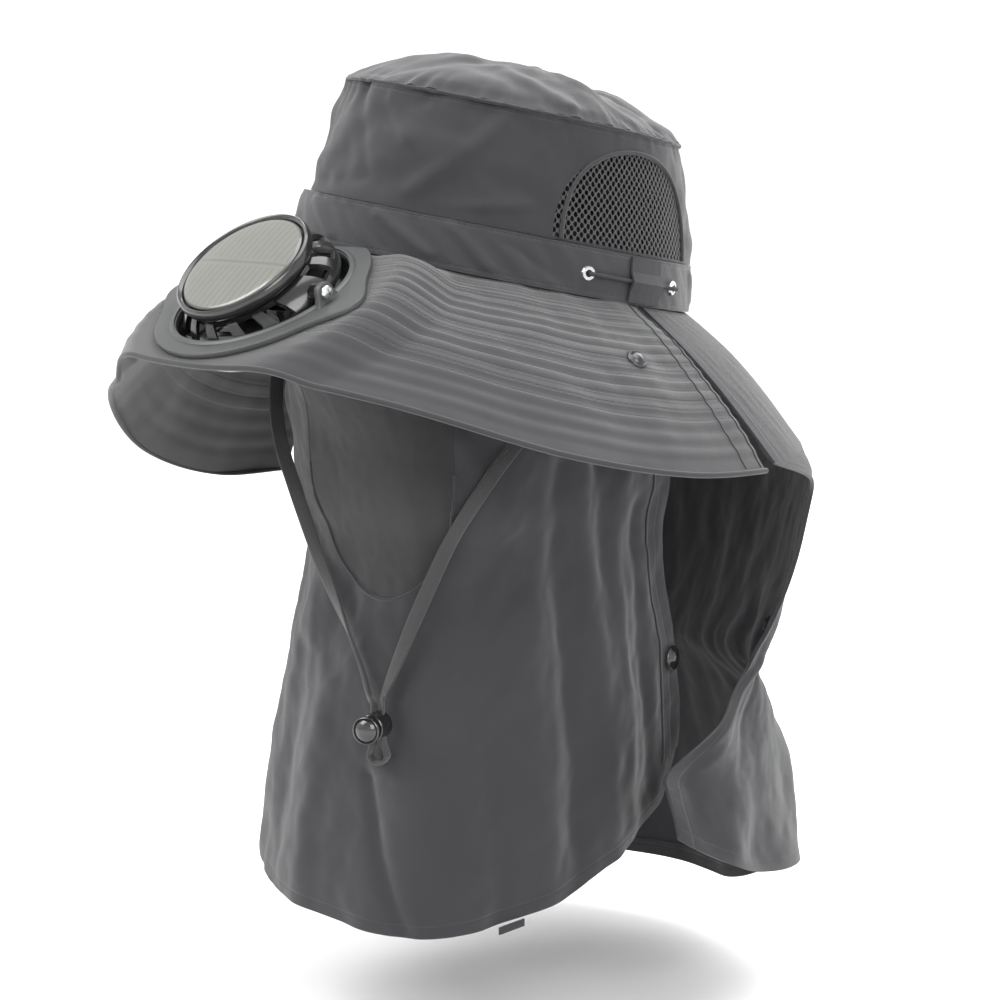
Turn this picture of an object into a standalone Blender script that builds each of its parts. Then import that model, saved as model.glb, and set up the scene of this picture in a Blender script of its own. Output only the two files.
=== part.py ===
"""Solar fan hat as worn: crown, stiff brim, face veil, neck cape, chin strap and a brim fan with a solar disc.

Metres, +Z up. The wearer looks along -Y, and +X is the wearer's left. The origin is the centre of the
headband opening. An azimuth is counted from straight ahead towards the wearer's left, in degrees.
"""
import math

import bmesh
import bpy
from mathutils import Matrix, Vector

# Fits and cloth
GAP = 0.0003
SHAFT_CLEARANCE = 0.00008
CLOTH = 0.0012
HEM_EXTRA = 0.0009

# Head opening and crown, in the hat's own level frame
HEAD_HALF_WIDTH = 0.0875
HEAD_HALF_LENGTH = 0.1005
TILT_BACK = math.radians(9.5)
TILT_SIDE = math.radians(6.5)
BAND_HEIGHT = 0.0215
BAND_THICKNESS = 0.0016
CROWN_HEIGHT = 0.0745
CROWN_TAPER = 0.165
CROWN_RISE = 0.0195
CROWN_LEAN = 0.0050
CROWN_DOME_POWER = 2.9
CROWN_SEGMENTS = 36

# Brim
BRIM_WIDTH = 0.0875
BRIM_REACH = HEAD_HALF_LENGTH + BRIM_WIDTH
BRIM_DROP = 0.1080
# Brim: azimuth, share of the reach at the edge, share of the drop at the edge
BRIM_EDGE = (
    (-96.0, 0.840, 1.000),
    (-80.0, 0.888, 0.991),
    (-60.0, 0.920, 0.824),
    (-35.0, 0.947, 0.500),
    (-10.0, 0.979, 0.324),
    (10.0, 1.000, 0.282),
    (30.0, 0.989, 0.370),
    (55.0, 0.936, 0.588),
    (75.0, 0.872, 0.699),
    (96.0, 0.830, 0.736),
)
BRIM_THICKNESS = 0.0015
BRIM_END = 94.0
BRIM_SIDE_STEPS = 9
BRIM_FRONT = 32.0
BRIM_FRONT_STEPS = 12
BRIM_ARCH = 0.0055
BINDING_RADIUS = 0.0013

# Neck cape
CAPE_LENGTH = 0.2860
CAPE_FLARE = 0.0515
CAPE_SIZE = HEAD_HALF_LENGTH + CAPE_FLARE
# Neck cape: share of the length, share of the size at the quarter, squareness, depth to width, azimuth of the near edge
CAPE_ROWS = (
    (0.280, 0.974, 2.0, 0.97, 103.0),
    (0.336, 1.000, 2.0, 1.00, 126.0),
    (0.402, 0.987, 2.0, 1.00, 132.0),
    (0.500, 0.934, 2.1, 1.02, 132.0),
    (0.587, 0.862, 2.2, 1.04, 131.0),
    (0.657, 0.799, 2.4, 1.06, 127.0),
    (0.720, 0.836, 2.5, 1.08, 99.0),
    (0.790, 0.872, 2.6, 1.08, 86.0),
    (0.892, 0.911, 2.8, 1.08, 84.0),
    (1.000, 0.937, 3.0, 1.08, 86.5),
)
CAPE_TOP_EDGE = 96.0
CAPE_COLUMNS = 21
CAPE_SIDE_LIFT = 0.026
CAPE_BACK_DROP = 0.027
CAPE_FOLDS = 9.0
CAPE_FOLD_DEPTH = 0.0030

# Face veil
VEIL_LENGTH = 0.2885
VEIL_HALF_WIDTH = HEAD_HALF_WIDTH - 0.0010
VEIL_FRONT = HEAD_HALF_LENGTH + 0.0165
# Face veil: share of the length, share of the half width, share of the distance to the front, squareness
VEIL_ROWS = (
    (-0.035, 1.017, 0.876, 2.0),
    (0.052, 1.006, 0.863, 2.1),
    (0.139, 0.960, 0.829, 2.3),
    (0.243, 0.902, 0.803, 2.6),
    (0.340, 0.861, 0.774, 2.8),
    (0.409, 0.827, 0.722, 2.8),
    (0.492, 0.838, 0.726, 2.8),
    (0.582, 0.884, 0.782, 2.8),
    (0.711, 0.925, 0.850, 2.8),
    (0.901, 0.971, 0.953, 2.8),
    (1.040, 1.000, 1.000, 2.8),
)
# Veil: azimuth, drop of the top edge under the ring as a share of the length
VEIL_TOP = ((0.0, 0.173), (25.0, 0.152), (50.0, 0.042), (62.0, -0.010), (120.0, -0.010))
# Veil: azimuth, share of the length at the hem
VEIL_HEM = (
    (-126.0, 0.825), (-90.0, 0.908), (-46.0, 0.957), (0.0, 0.984), (32.0, 1.000), (60.0, 0.971),
    (82.0, 0.925), (104.0, 0.873), (126.0, 0.818),
)
# Veil: share of the height from top to hem, azimuth of the rear edge
VEIL_EDGE = ((0.0, 92.0), (0.20, 114.0), (0.38, 124.0), (0.80, 126.0), (0.92, 123.0), (1.0, 112.0))
VEIL_COLUMNS = 25
VEIL_TURN = 9.0
VEIL_INSET = 0.0023
MESH_HALF_ANGLE = 27.0
MESH_BOTTOM = -0.143

# Brim fan, in the frame of its base plate: +Z off the brim, -Y down the slope
PLATE_CENTRE = Vector((0.0, -0.1426, -0.0025))
PLATE_SLOPE = math.radians(27.0)
PLATE_RADIUS = 0.0500
PLATE_THICKNESS = 0.0025
PLATE_HOLE = 0.0400
PLATE_BACK_LIMIT = 0.0432
BRIM_HOLE_MARGIN = 0.0014
LOBE_ANGLE = 0.0
LOBE_SPREAD = 15.0
LOBE_REACH = 0.0100
FAN_SEGMENTS = 28
HINGE_FORWARD = 0.0010
HINGE_HEIGHT = 0.0040
HEAD_TILT = math.radians(12.0)
EAR_INNER = 0.0408
EAR_THICKNESS = 0.0030
EAR_WIDTH = 0.0090
BOSS_RADIUS = 0.0034
BOSS_REACH = EAR_INNER - 0.0005
PIN_RADIUS = 0.0014
SCREW_HEAD_RADIUS = 0.0031
CAGE_RADIUS = 0.0375
CAGE_FLOOR = -0.0065
CAGE_TOP = 0.0072
CAGE_WALL = 0.0015
VANES = 16
VANE_TWIST = math.radians(11.0)
SOLAR_RADIUS = 0.0324
SOLAR_FOOT = CAGE_TOP + GAP
SOLAR_HEIGHT = 0.0070
CELLS_RADIUS = 0.0292
MOTOR_RADIUS = 0.0100
MOTOR_HEIGHT = 0.0032
SHAFT_RADIUS = 0.0010
HUB_RADIUS = 0.0085
BLADES = 5
BLADE_REACH = 0.0322
GRILLE_DEPTH = 0.0212
GRILLE_SLOTS = 10

# Crown vents, in the hat's level frame: y along the head, height
VENT_CENTRE = 0.001
VENT_HALF_LENGTH = 0.046
VENT_HEIGHT = 0.0430

# Drawcord and its eyelets
CORD_RADIUS = 0.0010
EYELET_FRONT = 71.0
EYELET_REAR = 110.0
EYELET_HEIGHT = 0.0100
EYELET_BORE = 0.0015
EYELET_RADIUS = 0.0036
EYELET_FLANGE = 0.0010
TUNNEL_FROM = 87.0
TUNNEL_TO = 101.0

# Chin strap route down the wearer's left, round the lock and up the right
STRAP_RADIUS = 0.0017
# Strap under the brim: azimuth, distance off the cloth
STRAP_SEAM = ((86.0, GAP), (81.0, GAP), (76.5, 0.0016))
STRAP_SHARE = 0.105
LOCK_CENTRE = Vector((0.0330, -0.1080, -0.1945))
LOCK_AZIMUTH = 22.0
LOCK_RADIUS = 0.0062
LOCK_LENGTH = 0.0125
LOCK_BORE = (0.0042, 0.0088)
BUTTON_RADIUS = 0.0064
BUTTON_TRAVEL = 0.0025
STRAP_LEFT = (
    (0.0880, -0.0330, -0.0330),
    (0.0830, -0.0450, -0.0480),
    (0.0760, -0.0565, -0.0640),
    (0.0690, -0.0665, -0.0790),
    (0.0625, -0.0735, -0.0930),
    (0.0560, -0.0775, -0.1050),
    (0.0495, -0.0800, -0.1170),
    (0.0430, -0.0850, -0.1350),
    (0.0380, -0.0905, -0.1520),
    (0.0335, -0.0965, -0.1700),
    (0.0310, -0.1010, -0.1820),
)
STRAP_RIGHT = (
    (0.0240, -0.1030, -0.1820),
    (0.0130, -0.0985, -0.1690),
    (-0.0095, -0.0915, -0.1466),
    (-0.0245, -0.0880, -0.1292),
    (-0.0350, -0.0865, -0.1130),
    (-0.0430, -0.0870, -0.0960),
    (-0.0530, -0.0855, -0.0780),
    (-0.0650, -0.0780, -0.0590),
    (-0.0760, -0.0650, -0.0400),
    (-0.0845, -0.0480, -0.0210),
)

COLLECTION = bpy.context.scene.collection


def clear_scene():
    for found in list(bpy.data.objects):
        bpy.data.objects.remove(found, do_unlink=True)


def material(name, colour, roughness, metallic=0.0, alpha=1.0):
    made = bpy.data.materials.new(name)
    made.use_nodes = True
    shader = made.node_tree.nodes["Principled BSDF"]
    shader.inputs["Base Color"].default_value = (*colour, 1.0)
    shader.inputs["Roughness"].default_value = roughness
    shader.inputs["Metallic"].default_value = metallic
    shader.inputs["Alpha"].default_value = alpha
    return made


FABRIC = ((0.022, 0.022, 0.025), 0.80, 0.0, 1.0)
FABRIC_LIGHT = ((0.027, 0.027, 0.030), 0.75, 0.0, 1.0)
NET = ((0.018, 0.018, 0.019), 0.85, 0.0, 1.0)
WEBBING = ((0.014, 0.014, 0.014), 0.80, 0.0, 1.0)
SATIN = ((0.045, 0.047, 0.047), 0.38, 0.0, 1.0)
GLOSS = ((0.012, 0.012, 0.012), 0.16, 0.0, 1.0)
CLEAR = ((0.10, 0.10, 0.09), 0.08, 0.0, 0.35)
CELLS = ((0.065, 0.067, 0.055), 0.30, 0.0, 1.0)
STEEL = ((0.55, 0.55, 0.56), 0.22, 1.0, 1.0)
GUNMETAL = ((0.09, 0.09, 0.095), 0.25, 1.0, 1.0)


def publish(name, bm, finish, matrix=None, place=None):
    """One closed body as a named object with its own material, faces outwards, set down at a place."""
    bmesh.ops.recalc_face_normals(bm, faces=bm.faces)
    if matrix is not None:
        bm.transform(matrix)
    mesh = bpy.data.meshes.new(name)
    bm.to_mesh(mesh)
    bm.free()
    made = bpy.data.objects.new(name, mesh)
    COLLECTION.objects.link(made)
    mesh.materials.append(material(name, *finish))
    if place is not None:
        made.matrix_world = place
    return made


def combine(target, tool, operation):
    """Apply an exact Boolean and drop its tool."""
    step = target.modifiers.new("step", "BOOLEAN")
    step.operation = operation
    step.solver = "EXACT"
    step.object = tool
    bpy.context.view_layer.update()
    graph = bpy.context.evaluated_depsgraph_get()
    result = bpy.data.meshes.new_from_object(target.evaluated_get(graph))
    target.modifiers.clear()
    target.data = result
    slot = bpy.data.materials[target.name]
    result.materials.clear()
    result.materials.append(slot)
    for face in result.polygons:
        face.material_index = 0
    bpy.data.objects.remove(tool, do_unlink=True)
    return target


def cutter(bm, matrix=None):
    made = publish("cutter", bm, FABRIC, matrix)
    made.display_type = "WIRE"
    made.hide_render = True
    return made


def smoothstep(low, high, value):
    share = min(1.0, max(0.0, (value - low) / (high - low)))
    return share * share * (3.0 - 2.0 * share)


def along(table, key, column):
    """Smooth value of a table's column at a key, the keys in the table's first column in either order."""
    rows = sorted(table)
    if key <= rows[0][0]:
        return rows[0][column]
    for low, high in zip(rows, rows[1:]):
        if key <= high[0]:
            share = (key - low[0]) / (high[0] - low[0])
            before = rows[max(0, rows.index(low) - 1)]
            after = rows[min(len(rows) - 1, rows.index(high) + 1)]
            span = high[0] - low[0]
            start = span * (high[column] - before[column]) / (high[0] - before[0])
            end = span * (after[column] - low[column]) / (after[0] - low[0])
            s2 = share * share
            s3 = s2 * share
            return ((2 * s3 - 3 * s2 + 1) * low[column] + (s3 - 2 * s2 + share) * start
                    + (3 * s2 - 2 * s3) * high[column] + (s3 - s2) * end)
    return rows[-1][column]


def facing(azimuth):
    """Level unit vector at an azimuth in degrees."""
    angle = math.radians(azimuth)
    return Vector((math.sin(angle), -math.cos(angle), 0.0))


def oval(azimuth, half_width, half_length, squareness=2.0):
    """Distance from the axis to a superellipse at an azimuth."""
    angle = math.radians(azimuth)
    across = abs(math.sin(angle)) / half_width
    ahead = abs(math.cos(angle)) / half_length
    return (across ** squareness + ahead ** squareness) ** (-1.0 / squareness)


HAT = Matrix.Rotation(TILT_SIDE, 4, "Y") @ Matrix.Rotation(-TILT_BACK, 4, "X")


def head_radius(azimuth):
    return oval(azimuth, HEAD_HALF_WIDTH, HEAD_HALF_LENGTH)


def crown_radius(azimuth, height):
    """Level radius of the crown's middle surface at a height over the ring."""
    share = height / CROWN_HEIGHT
    return head_radius(azimuth) * (1.0 - CROWN_TAPER * share ** 1.15)


def shell(name, finish, us, vs, point, thickness, closed=False, capped=False, matrix=None):
    """Closed wall about the surface point(u, v): us runs along it, vs across it.

    thickness is a number or a function of u and v; closed joins the last u to the first;
    capped fills the first v's ring, as a dome's top.
    """
    middle = [[point(u, v) for v in vs] for u in us]
    count, rows = len(us), len(vs)
    bm = bmesh.new()
    outer, inner = [], []
    for i in range(count):
        before = middle[i - 1] if closed or i > 0 else middle[i]
        after = middle[(i + 1) % count] if closed or i < count - 1 else middle[i]
        outer.append([])
        inner.append([])
        for j in range(rows):
            side = after[j] - before[j]
            down = middle[i][min(j + 1, rows - 1)] - middle[i][max(j - 1, 0)]
            normal = side.cross(down).normalized()
            wall = thickness(us[i], vs[j]) if callable(thickness) else thickness
            outer[i].append(bm.verts.new(middle[i][j] - normal * wall / 2))
            inner[i].append(bm.verts.new(middle[i][j] + normal * wall / 2))
    spans = [(i, (i + 1) % count) for i in range(count if closed else count - 1)]
    for a, b in spans:
        for j in range(rows - 1):
            bm.faces.new((outer[a][j], outer[b][j], outer[b][j + 1], outer[a][j + 1]))
            bm.faces.new((inner[a][j + 1], inner[b][j + 1], inner[b][j], inner[a][j]))
        bm.faces.new((outer[a][-1], outer[b][-1], inner[b][-1], inner[a][-1]))
        if not capped:
            bm.faces.new((inner[a][0], inner[b][0], outer[b][0], outer[a][0]))
    if capped:
        bm.faces.new([row[0] for row in outer])
        bm.faces.new([row[0] for row in reversed(inner)])
    if not closed:
        for end in (0, count - 1):
            for j in range(rows - 1):
                bm.faces.new((outer[end][j], outer[end][j + 1], inner[end][j + 1], inner[end][j]))
    return publish(name, bm, finish, matrix)


def spread(low, high, steps):
    return [low + (high - low) * i / steps for i in range(steps + 1)]


def round_the_head(steps=CROWN_SEGMENTS):
    return [360.0 * i / steps for i in range(steps)]


def lathe_mesh(profile, segments=FAN_SEGMENTS):
    """Solid of revolution about Z of a closed outline of (radius, height); radius 0 lies on the axis."""
    bm = bmesh.new()
    rings = []
    for radius, height in profile:
        if radius == 0.0:
            rings.append([bm.verts.new((0.0, 0.0, height))] * segments)
        else:
            rings.append([
                bm.verts.new((radius * math.cos(2 * math.pi * i / segments),
                              radius * math.sin(2 * math.pi * i / segments), height))
                for i in range(segments)])
    for low, high in zip(rings, rings[1:] + rings[:1]):
        for i in range(segments):
            k = (i + 1) % segments
            corners = []
            for vert in (low[i], low[k], high[k], high[i]):
                if vert not in corners:
                    corners.append(vert)
            if len(corners) > 2:
                bm.faces.new(corners)
    return bm


def block_mesh(low, high):
    bm = bmesh.new()
    bmesh.ops.create_cube(bm, size=1.0)
    size = Vector(high) - Vector(low)
    centre = (Vector(high) + Vector(low)) / 2
    bm.transform(Matrix.Translation(centre) @ Matrix.Diagonal((*size, 1.0)))
    return bm


def prism_mesh(outline, low, high, axis="X"):
    """Straight prism along X of an outline of (y, z), or along Z of an outline of (x, y)."""
    bm = bmesh.new()
    if axis == "X":
        rings = [[bm.verts.new((end, y, z)) for y, z in outline] for end in (low, high)]
    else:
        rings = [[bm.verts.new((x, y, end)) for x, y in outline] for end in (low, high)]
    count = len(outline)
    for i in range(count):
        k = (i + 1) % count
        bm.faces.new((rings[0][i], rings[0][k], rings[1][k], rings[1][i]))
    bm.faces.new(rings[0][::-1])
    bm.faces.new(rings[1])
    return bm


def frame_at(point, normal, turn=0.0):
    """Place at a point with Z along a normal."""
    return Matrix.Translation(point) @ normal.to_track_quat("Z", "Y").to_matrix().to_4x4() @ Matrix.Rotation(turn, 4, "Z")


def normal_of(point, u, v, du, dv):
    side = point(u + du, v) - point(u - du, v)
    down = point(u, v + dv) - point(u, v - dv)
    return -side.cross(down).normalized()


def raised(point, du, dv, height):
    """The surface moved out along its normal."""
    return lambda u, v: point(u, v) + normal_of(point, u, v, du, dv) * height


# Crown

def vent_outline(border):
    """Arch of a vent as (y, z) in the hat's frame, drawn in by a border."""
    half = VENT_HALF_LENGTH - border
    floor = BAND_HEIGHT + border + 0.0016
    arch = [(VENT_CENTRE + half * math.cos(math.pi * i / 16),
             floor + (VENT_HEIGHT - 2 * border) * math.sin(math.pi * i / 16) ** 0.85) for i in range(17)]
    return arch


def lean(height):
    """Forward shift of the crown's sections over the band."""
    return Vector((0.0, -CROWN_LEAN * max(0.0, height - BAND_HEIGHT) / (CROWN_HEIGHT - BAND_HEIGHT), 0.0))


def crown_side_point(azimuth, height):
    sag = 0.0016 * math.sin(math.radians(3 * azimuth + 40)) * math.sin(math.pi * height / CROWN_HEIGHT)
    return facing(azimuth) * (crown_radius(azimuth, height) + sag) + lean(height) + Vector((0, 0, height))


def crown_side():
    levels = [BAND_HEIGHT + GAP + (CROWN_HEIGHT - BAND_HEIGHT - GAP) * share for share in (0, 0.35, 0.7, 1)]
    wall = shell("crown_side", FABRIC, round_the_head(), levels[::-1], crown_side_point, CLOTH, closed=True)
    combine(wall, cutter(prism_mesh(vent_outline(0.0), -0.12, 0.12)), "DIFFERENCE")
    wall.data.transform(HAT)
    return wall


def vent_mesh(name, side):
    """Net panel of a vent: the crown's surface within the arch, cut clear of the cloth's edge."""
    azimuths = spread(side * 90 - 36, side * 90 + 36, 9)
    levels = spread(BAND_HEIGHT + 0.0008, CROWN_HEIGHT - 0.004, 4)
    panel = shell(name, NET, azimuths, levels[::-1], crown_side_point, CLOTH * 0.7)
    combine(panel, cutter(prism_mesh(vent_outline(GAP), -0.12, 0.12)), "INTERSECT")
    panel.data.transform(HAT)
    return panel


def crown_top_point(azimuth, share):
    rim = crown_radius(azimuth, CROWN_HEIGHT) + 0.0002
    rise = CROWN_RISE * (1.0 - share ** CROWN_DOME_POWER)
    ripple = 0.0012 * math.sin(math.radians(2 * azimuth + 60)) * share * (1 - share) * 4
    height = CROWN_HEIGHT + GAP + CLOTH / 2 + rise + ripple
    return facing(azimuth) * rim * share + lean(CROWN_HEIGHT) + Vector((0, 0, height))


def crown_top():
    shares = (0.10, 0.40, 0.68, 0.88, 1.0)
    return shell("crown_top", FABRIC, round_the_head(), shares, crown_top_point, CLOTH, closed=True,
                 capped=True, matrix=HAT)


def band_point(azimuth, height):
    middle = head_radius(azimuth) + BAND_THICKNESS / 2
    return facing(azimuth) * (middle - height * 0.14) + Vector((0, 0, height))


def eyelet_places():
    return ((EYELET_FRONT, "front_left"), (EYELET_REAR, "rear_left"),
            (-EYELET_FRONT, "front_right"), (-EYELET_REAR, "rear_right"))


def hat_band():
    band = shell("hat_band", FABRIC_LIGHT, round_the_head(), (BAND_HEIGHT, 0.0), band_point,
                 BAND_THICKNESS, closed=True)
    for azimuth, _ in eyelet_places():
        bore = lathe_mesh([(0.0, -0.01), (EYELET_BORE + 0.0011, -0.01), (EYELET_BORE + 0.0011, 0.01), (0.0, 0.01)], 10)
        place = frame_at(band_point(azimuth, EYELET_HEIGHT), facing(azimuth))
        combine(band, cutter(bore, place), "DIFFERENCE")
    band.data.transform(HAT)
    return band


def eyelet(azimuth, name):
    """Rolled metal ring through the band, a flange outside and a smaller one inside."""
    face = BAND_THICKNESS / 2 + GAP + 0.0003
    outline = [
        (EYELET_BORE, -face), (EYELET_BORE + 0.0007, -face), (EYELET_BORE + 0.0007, face), (EYELET_RADIUS, face),
        (EYELET_RADIUS - 0.0005, face + EYELET_FLANGE), (EYELET_BORE + 0.0002, face + EYELET_FLANGE),
    ]
    place = HAT @ frame_at(band_point(azimuth, EYELET_HEIGHT), facing(azimuth))
    return publish("eyelet_" + name, lathe_mesh(outline, 10), STEEL, place)


def cord_curve(name, points, radius, finish):
    data = bpy.data.curves.new(name, "CURVE")
    data.dimensions = "3D"
    data.bevel_depth = radius
    data.bevel_resolution = 2
    data.use_fill_caps = True
    spline = data.splines.new("POLY")
    spline.points.add(len(points) - 1)
    for knot, place in zip(spline.points, points):
        knot.co = (*place, 1.0)
    made = bpy.data.objects.new(name, data)
    COLLECTION.objects.link(made)
    data.materials.append(material(name, *finish))
    return made


def cord_offset(azimuth):
    """Distance of the drawcord's axis outside the band's middle: on the band, and over each eyelet's flange."""
    rest = BAND_THICKNESS / 2 + CORD_RADIUS + 2 * GAP
    near = min(abs(azimuth - EYELET_FRONT), abs(azimuth - EYELET_REAR))
    return rest + (EYELET_FLANGE + GAP) * (1.0 - smoothstep(2.7, 4.6, near))


def drawcord():
    """Elastic: in at the front eyelets, out round each tunnel, in at the rear ones, behind the band at the back."""
    inside = -BAND_THICKNESS / 2 - CORD_RADIUS - 3 * GAP
    over = cord_offset(EYELET_FRONT)
    stations = [(EYELET_FRONT, offset) for offset in (inside - 0.003, inside, 0.0, over)]
    stations += [(azimuth, cord_offset(azimuth)) for azimuth in spread(EYELET_FRONT + 2.6, EYELET_REAR - 2.6, 12)]
    stations += [(EYELET_REAR, offset) for offset in (over, 0.0, inside - 0.0006)]
    stations += [(azimuth, inside - 0.0006) for azimuth in spread(EYELET_REAR + 6.0, 180.0, 6)]
    stations += [(360.0 - azimuth, offset) for azimuth, offset in stations[-2::-1]]
    points = []
    for azimuth, offset in stations:
        place = band_point(azimuth, EYELET_HEIGHT) + facing(azimuth) * offset
        points.append(HAT @ place)
    return cord_curve("drawcord", points, CORD_RADIUS, WEBBING)


def tunnel_point(azimuth, height):
    arch = 0.0026 * math.exp(-((height - EYELET_HEIGHT) / 0.0030) ** 2)
    lift = BAND_THICKNESS / 2 + CLOTH / 2 + GAP + arch
    return band_point(azimuth, height) + facing(azimuth) * lift


def tunnel(name, side):
    azimuths = spread(side * TUNNEL_FROM, side * TUNNEL_TO, 4)
    heights = (0.0008, EYELET_HEIGHT - 0.0042, EYELET_HEIGHT, EYELET_HEIGHT + 0.0042, BAND_HEIGHT - 0.0008)
    return shell(name, FABRIC_LIGHT, sorted(azimuths), heights[::-1], tunnel_point, CLOTH, matrix=HAT)


# Brim

PLATE = Matrix.Translation(PLATE_CENTRE) @ Matrix.Rotation(PLATE_SLOPE, 4, "X")
PLATE_BACK = PLATE.inverted()
BRIM_BED = -PLATE_THICKNESS - 1.5 * GAP - BRIM_THICKNESS / 2


def brim_inner(azimuth):
    return HAT @ (facing(azimuth) * head_radius(azimuth) + Vector((0, 0, -CLOTH)))


def brim_edge(azimuth):
    edge = facing(azimuth) * BRIM_REACH * along(BRIM_EDGE, azimuth, 1)
    edge.z = -BRIM_DROP * along(BRIM_EDGE, azimuth, 2)
    return edge


def brim_point(azimuth, share):
    """Surface from the ring to the edge, arched a little, and flat under the fan's plate."""
    place = brim_inner(azimuth).lerp(brim_edge(azimuth), share)
    place.z += BRIM_ARCH * math.sin(math.pi * share)
    local = PLATE_BACK @ place
    bed = 1.0 - smoothstep(PLATE_RADIUS + LOBE_REACH, PLATE_RADIUS + LOBE_REACH + 0.022, math.hypot(local.x, local.y))
    fade = smoothstep(0.0, 0.10, share)
    local.z += (BRIM_BED - local.z) * bed * fade
    return PLATE @ local


def brim_columns():
    sides = spread(BRIM_FRONT, BRIM_END, BRIM_SIDE_STEPS)[1:]
    return [-a for a in reversed(sides)] + spread(-BRIM_FRONT, BRIM_FRONT, BRIM_FRONT_STEPS) + sides


def brim():
    shares = (0.0, 0.10, 0.32, 0.56, 0.80, 1.0)
    sheet = shell("brim", FABRIC_LIGHT, brim_columns(), shares, brim_point, BRIM_THICKNESS)
    radius = PLATE_HOLE + BRIM_HOLE_MARGIN
    hole = lathe_mesh([(0.0, -0.02), (radius, -0.02), (radius, 0.02), (0.0, 0.02)])
    return combine(sheet, cutter(hole, PLATE), "DIFFERENCE")


def tube(name, finish, path, radius, sides=5):
    """Closed tube along a list of points."""
    bm = bmesh.new()
    rings = []
    for i, place in enumerate(path):
        way = (path[min(i + 1, len(path) - 1)] - path[max(i - 1, 0)]).normalized()
        across = way.cross(Vector((0, 0, 1))).normalized()
        up = across.cross(way)
        rings.append([bm.verts.new(place + (across * math.cos(a) + up * math.sin(a)) * radius)
                      for a in (2 * math.pi * k / sides for k in range(sides))])
    for low, high in zip(rings, rings[1:]):
        for k in range(sides):
            n = (k + 1) % sides
            bm.faces.new((low[k], low[n], high[n], high[k]))
    bm.faces.new(rings[0][::-1])
    bm.faces.new(rings[-1])
    return publish(name, bm, finish)


def brim_binding():
    path = []
    for azimuth in brim_columns():
        edge = brim_point(azimuth, 1.0)
        way = (edge - brim_point(azimuth, 0.97)).normalized()
        path.append(edge + way * (BINDING_RADIUS + GAP))
    return tube("brim_binding", FABRIC_LIGHT, path, BINDING_RADIUS)


# Neck cape

def cape_row(level, azimuth):
    """Point of the cape's plan at one level of its table."""
    squareness = along(CAPE_ROWS, level, 2)
    half_width = CAPE_SIZE * along(CAPE_ROWS, level, 1) / 2.0 ** (0.5 - 1.0 / squareness)
    reach = oval(azimuth, half_width, half_width * along(CAPE_ROWS, level, 3), squareness)
    fold = CAPE_FOLD_DEPTH * smoothstep(0.35, 0.70, level) * math.cos(math.radians(azimuth - 180) * CAPE_FOLDS)
    place = facing(azimuth) * (reach + fold)
    nearness = min(azimuth, 360.0 - azimuth)
    side = max(0.0, (140.0 - nearness) / 45.0)
    back = smoothstep(135.0, 165.0, nearness)
    lift = CAPE_SIDE_LIFT * side * side - CAPE_BACK_DROP * back
    place.z = lift * smoothstep(0.70, 1.0, level) - CAPE_LENGTH * level
    return place


CAPE_LEVELS = tuple(row[0] for row in CAPE_ROWS)


def cape_point(across, share):
    """across runs from the near edge, 0, to the far one, 1; share counts the table's rows, the first at 1."""
    if share < 1.0:
        edge = CAPE_TOP_EDGE + (CAPE_ROWS[0][4] - CAPE_TOP_EDGE) * share
        azimuth = edge + (360.0 - 2 * edge) * across
        place = brim_inner(azimuth).lerp(cape_row(CAPE_LEVELS[0], azimuth), share)
        place.z += BRIM_ARCH * math.sin(math.pi * share)
        return place
    row = min(share - 1.0, len(CAPE_LEVELS) - 1.0)
    index = min(int(row), len(CAPE_LEVELS) - 2)
    level = CAPE_LEVELS[index] + (CAPE_LEVELS[index + 1] - CAPE_LEVELS[index]) * (row - index)
    edge = along(CAPE_ROWS, level, 4)
    azimuth = edge + (360.0 - 2 * edge) * across
    return cape_row(level, azimuth)


def hem_wall(base, low, high, near, far):
    """Wall thickness with a turned hem past low..high across and near..far down."""
    def wall(u, v):
        hem = u < low or u > high or v > far or v < near
        return base + (HEM_EXTRA if hem else 0.0)
    return wall


def neck_cape():
    edge = 0.03
    columns = [0.0, edge, edge + 0.006] + spread(0.08, 0.92, CAPE_COLUMNS - 6) + [1 - edge - 0.006, 1 - edge, 1.0]
    rows = [0.0, 0.5, 1.0, 1.6, 2.2, 3.0, 4.0, 5.0, 6.0, 7.0, 8.0, 9.0, 9.74, 9.80, 10.0]
    wall = hem_wall(CLOTH, edge + 0.003, 1 - edge - 0.003, -1.0, 9.77)
    return shell("neck_cape", FABRIC, columns, rows, cape_point, wall)


# Face veil

def veil_point(across, share):
    """across runs from the right rear edge, -1, to the left one, 1; share from the top, 0, to the hem, 1."""
    azimuth = along(VEIL_EDGE, share, 1) * across
    drop = VEIL_LENGTH * along(VEIL_TOP, abs(azimuth), 1)
    held = HAT @ (facing(azimuth) * (head_radius(azimuth) - VEIL_INSET) + Vector((0, 0, -drop)))
    level = held.z - (held.z + VEIL_LENGTH * along(VEIL_HEM, azimuth, 1)) * share
    key = -level / VEIL_LENGTH
    half_width = VEIL_HALF_WIDTH * along(VEIL_ROWS, key, 1)
    reach = oval(azimuth, half_width, VEIL_FRONT * along(VEIL_ROWS, key, 2), along(VEIL_ROWS, key, 3))
    crease = 0.0030 * math.exp(-((azimuth - 74 - 12 * share) / 5.0) ** 2) * smoothstep(0.2, 0.5, share)
    billow = 0.0022 * math.sin(math.radians(azimuth * 5 + 30)) * smoothstep(0.35, 0.9, share)
    hanging = facing(azimuth) * (reach + crease + billow)
    place = held.lerp(hanging, smoothstep(0.0, 0.17, share))
    place.z = level
    return place


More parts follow.
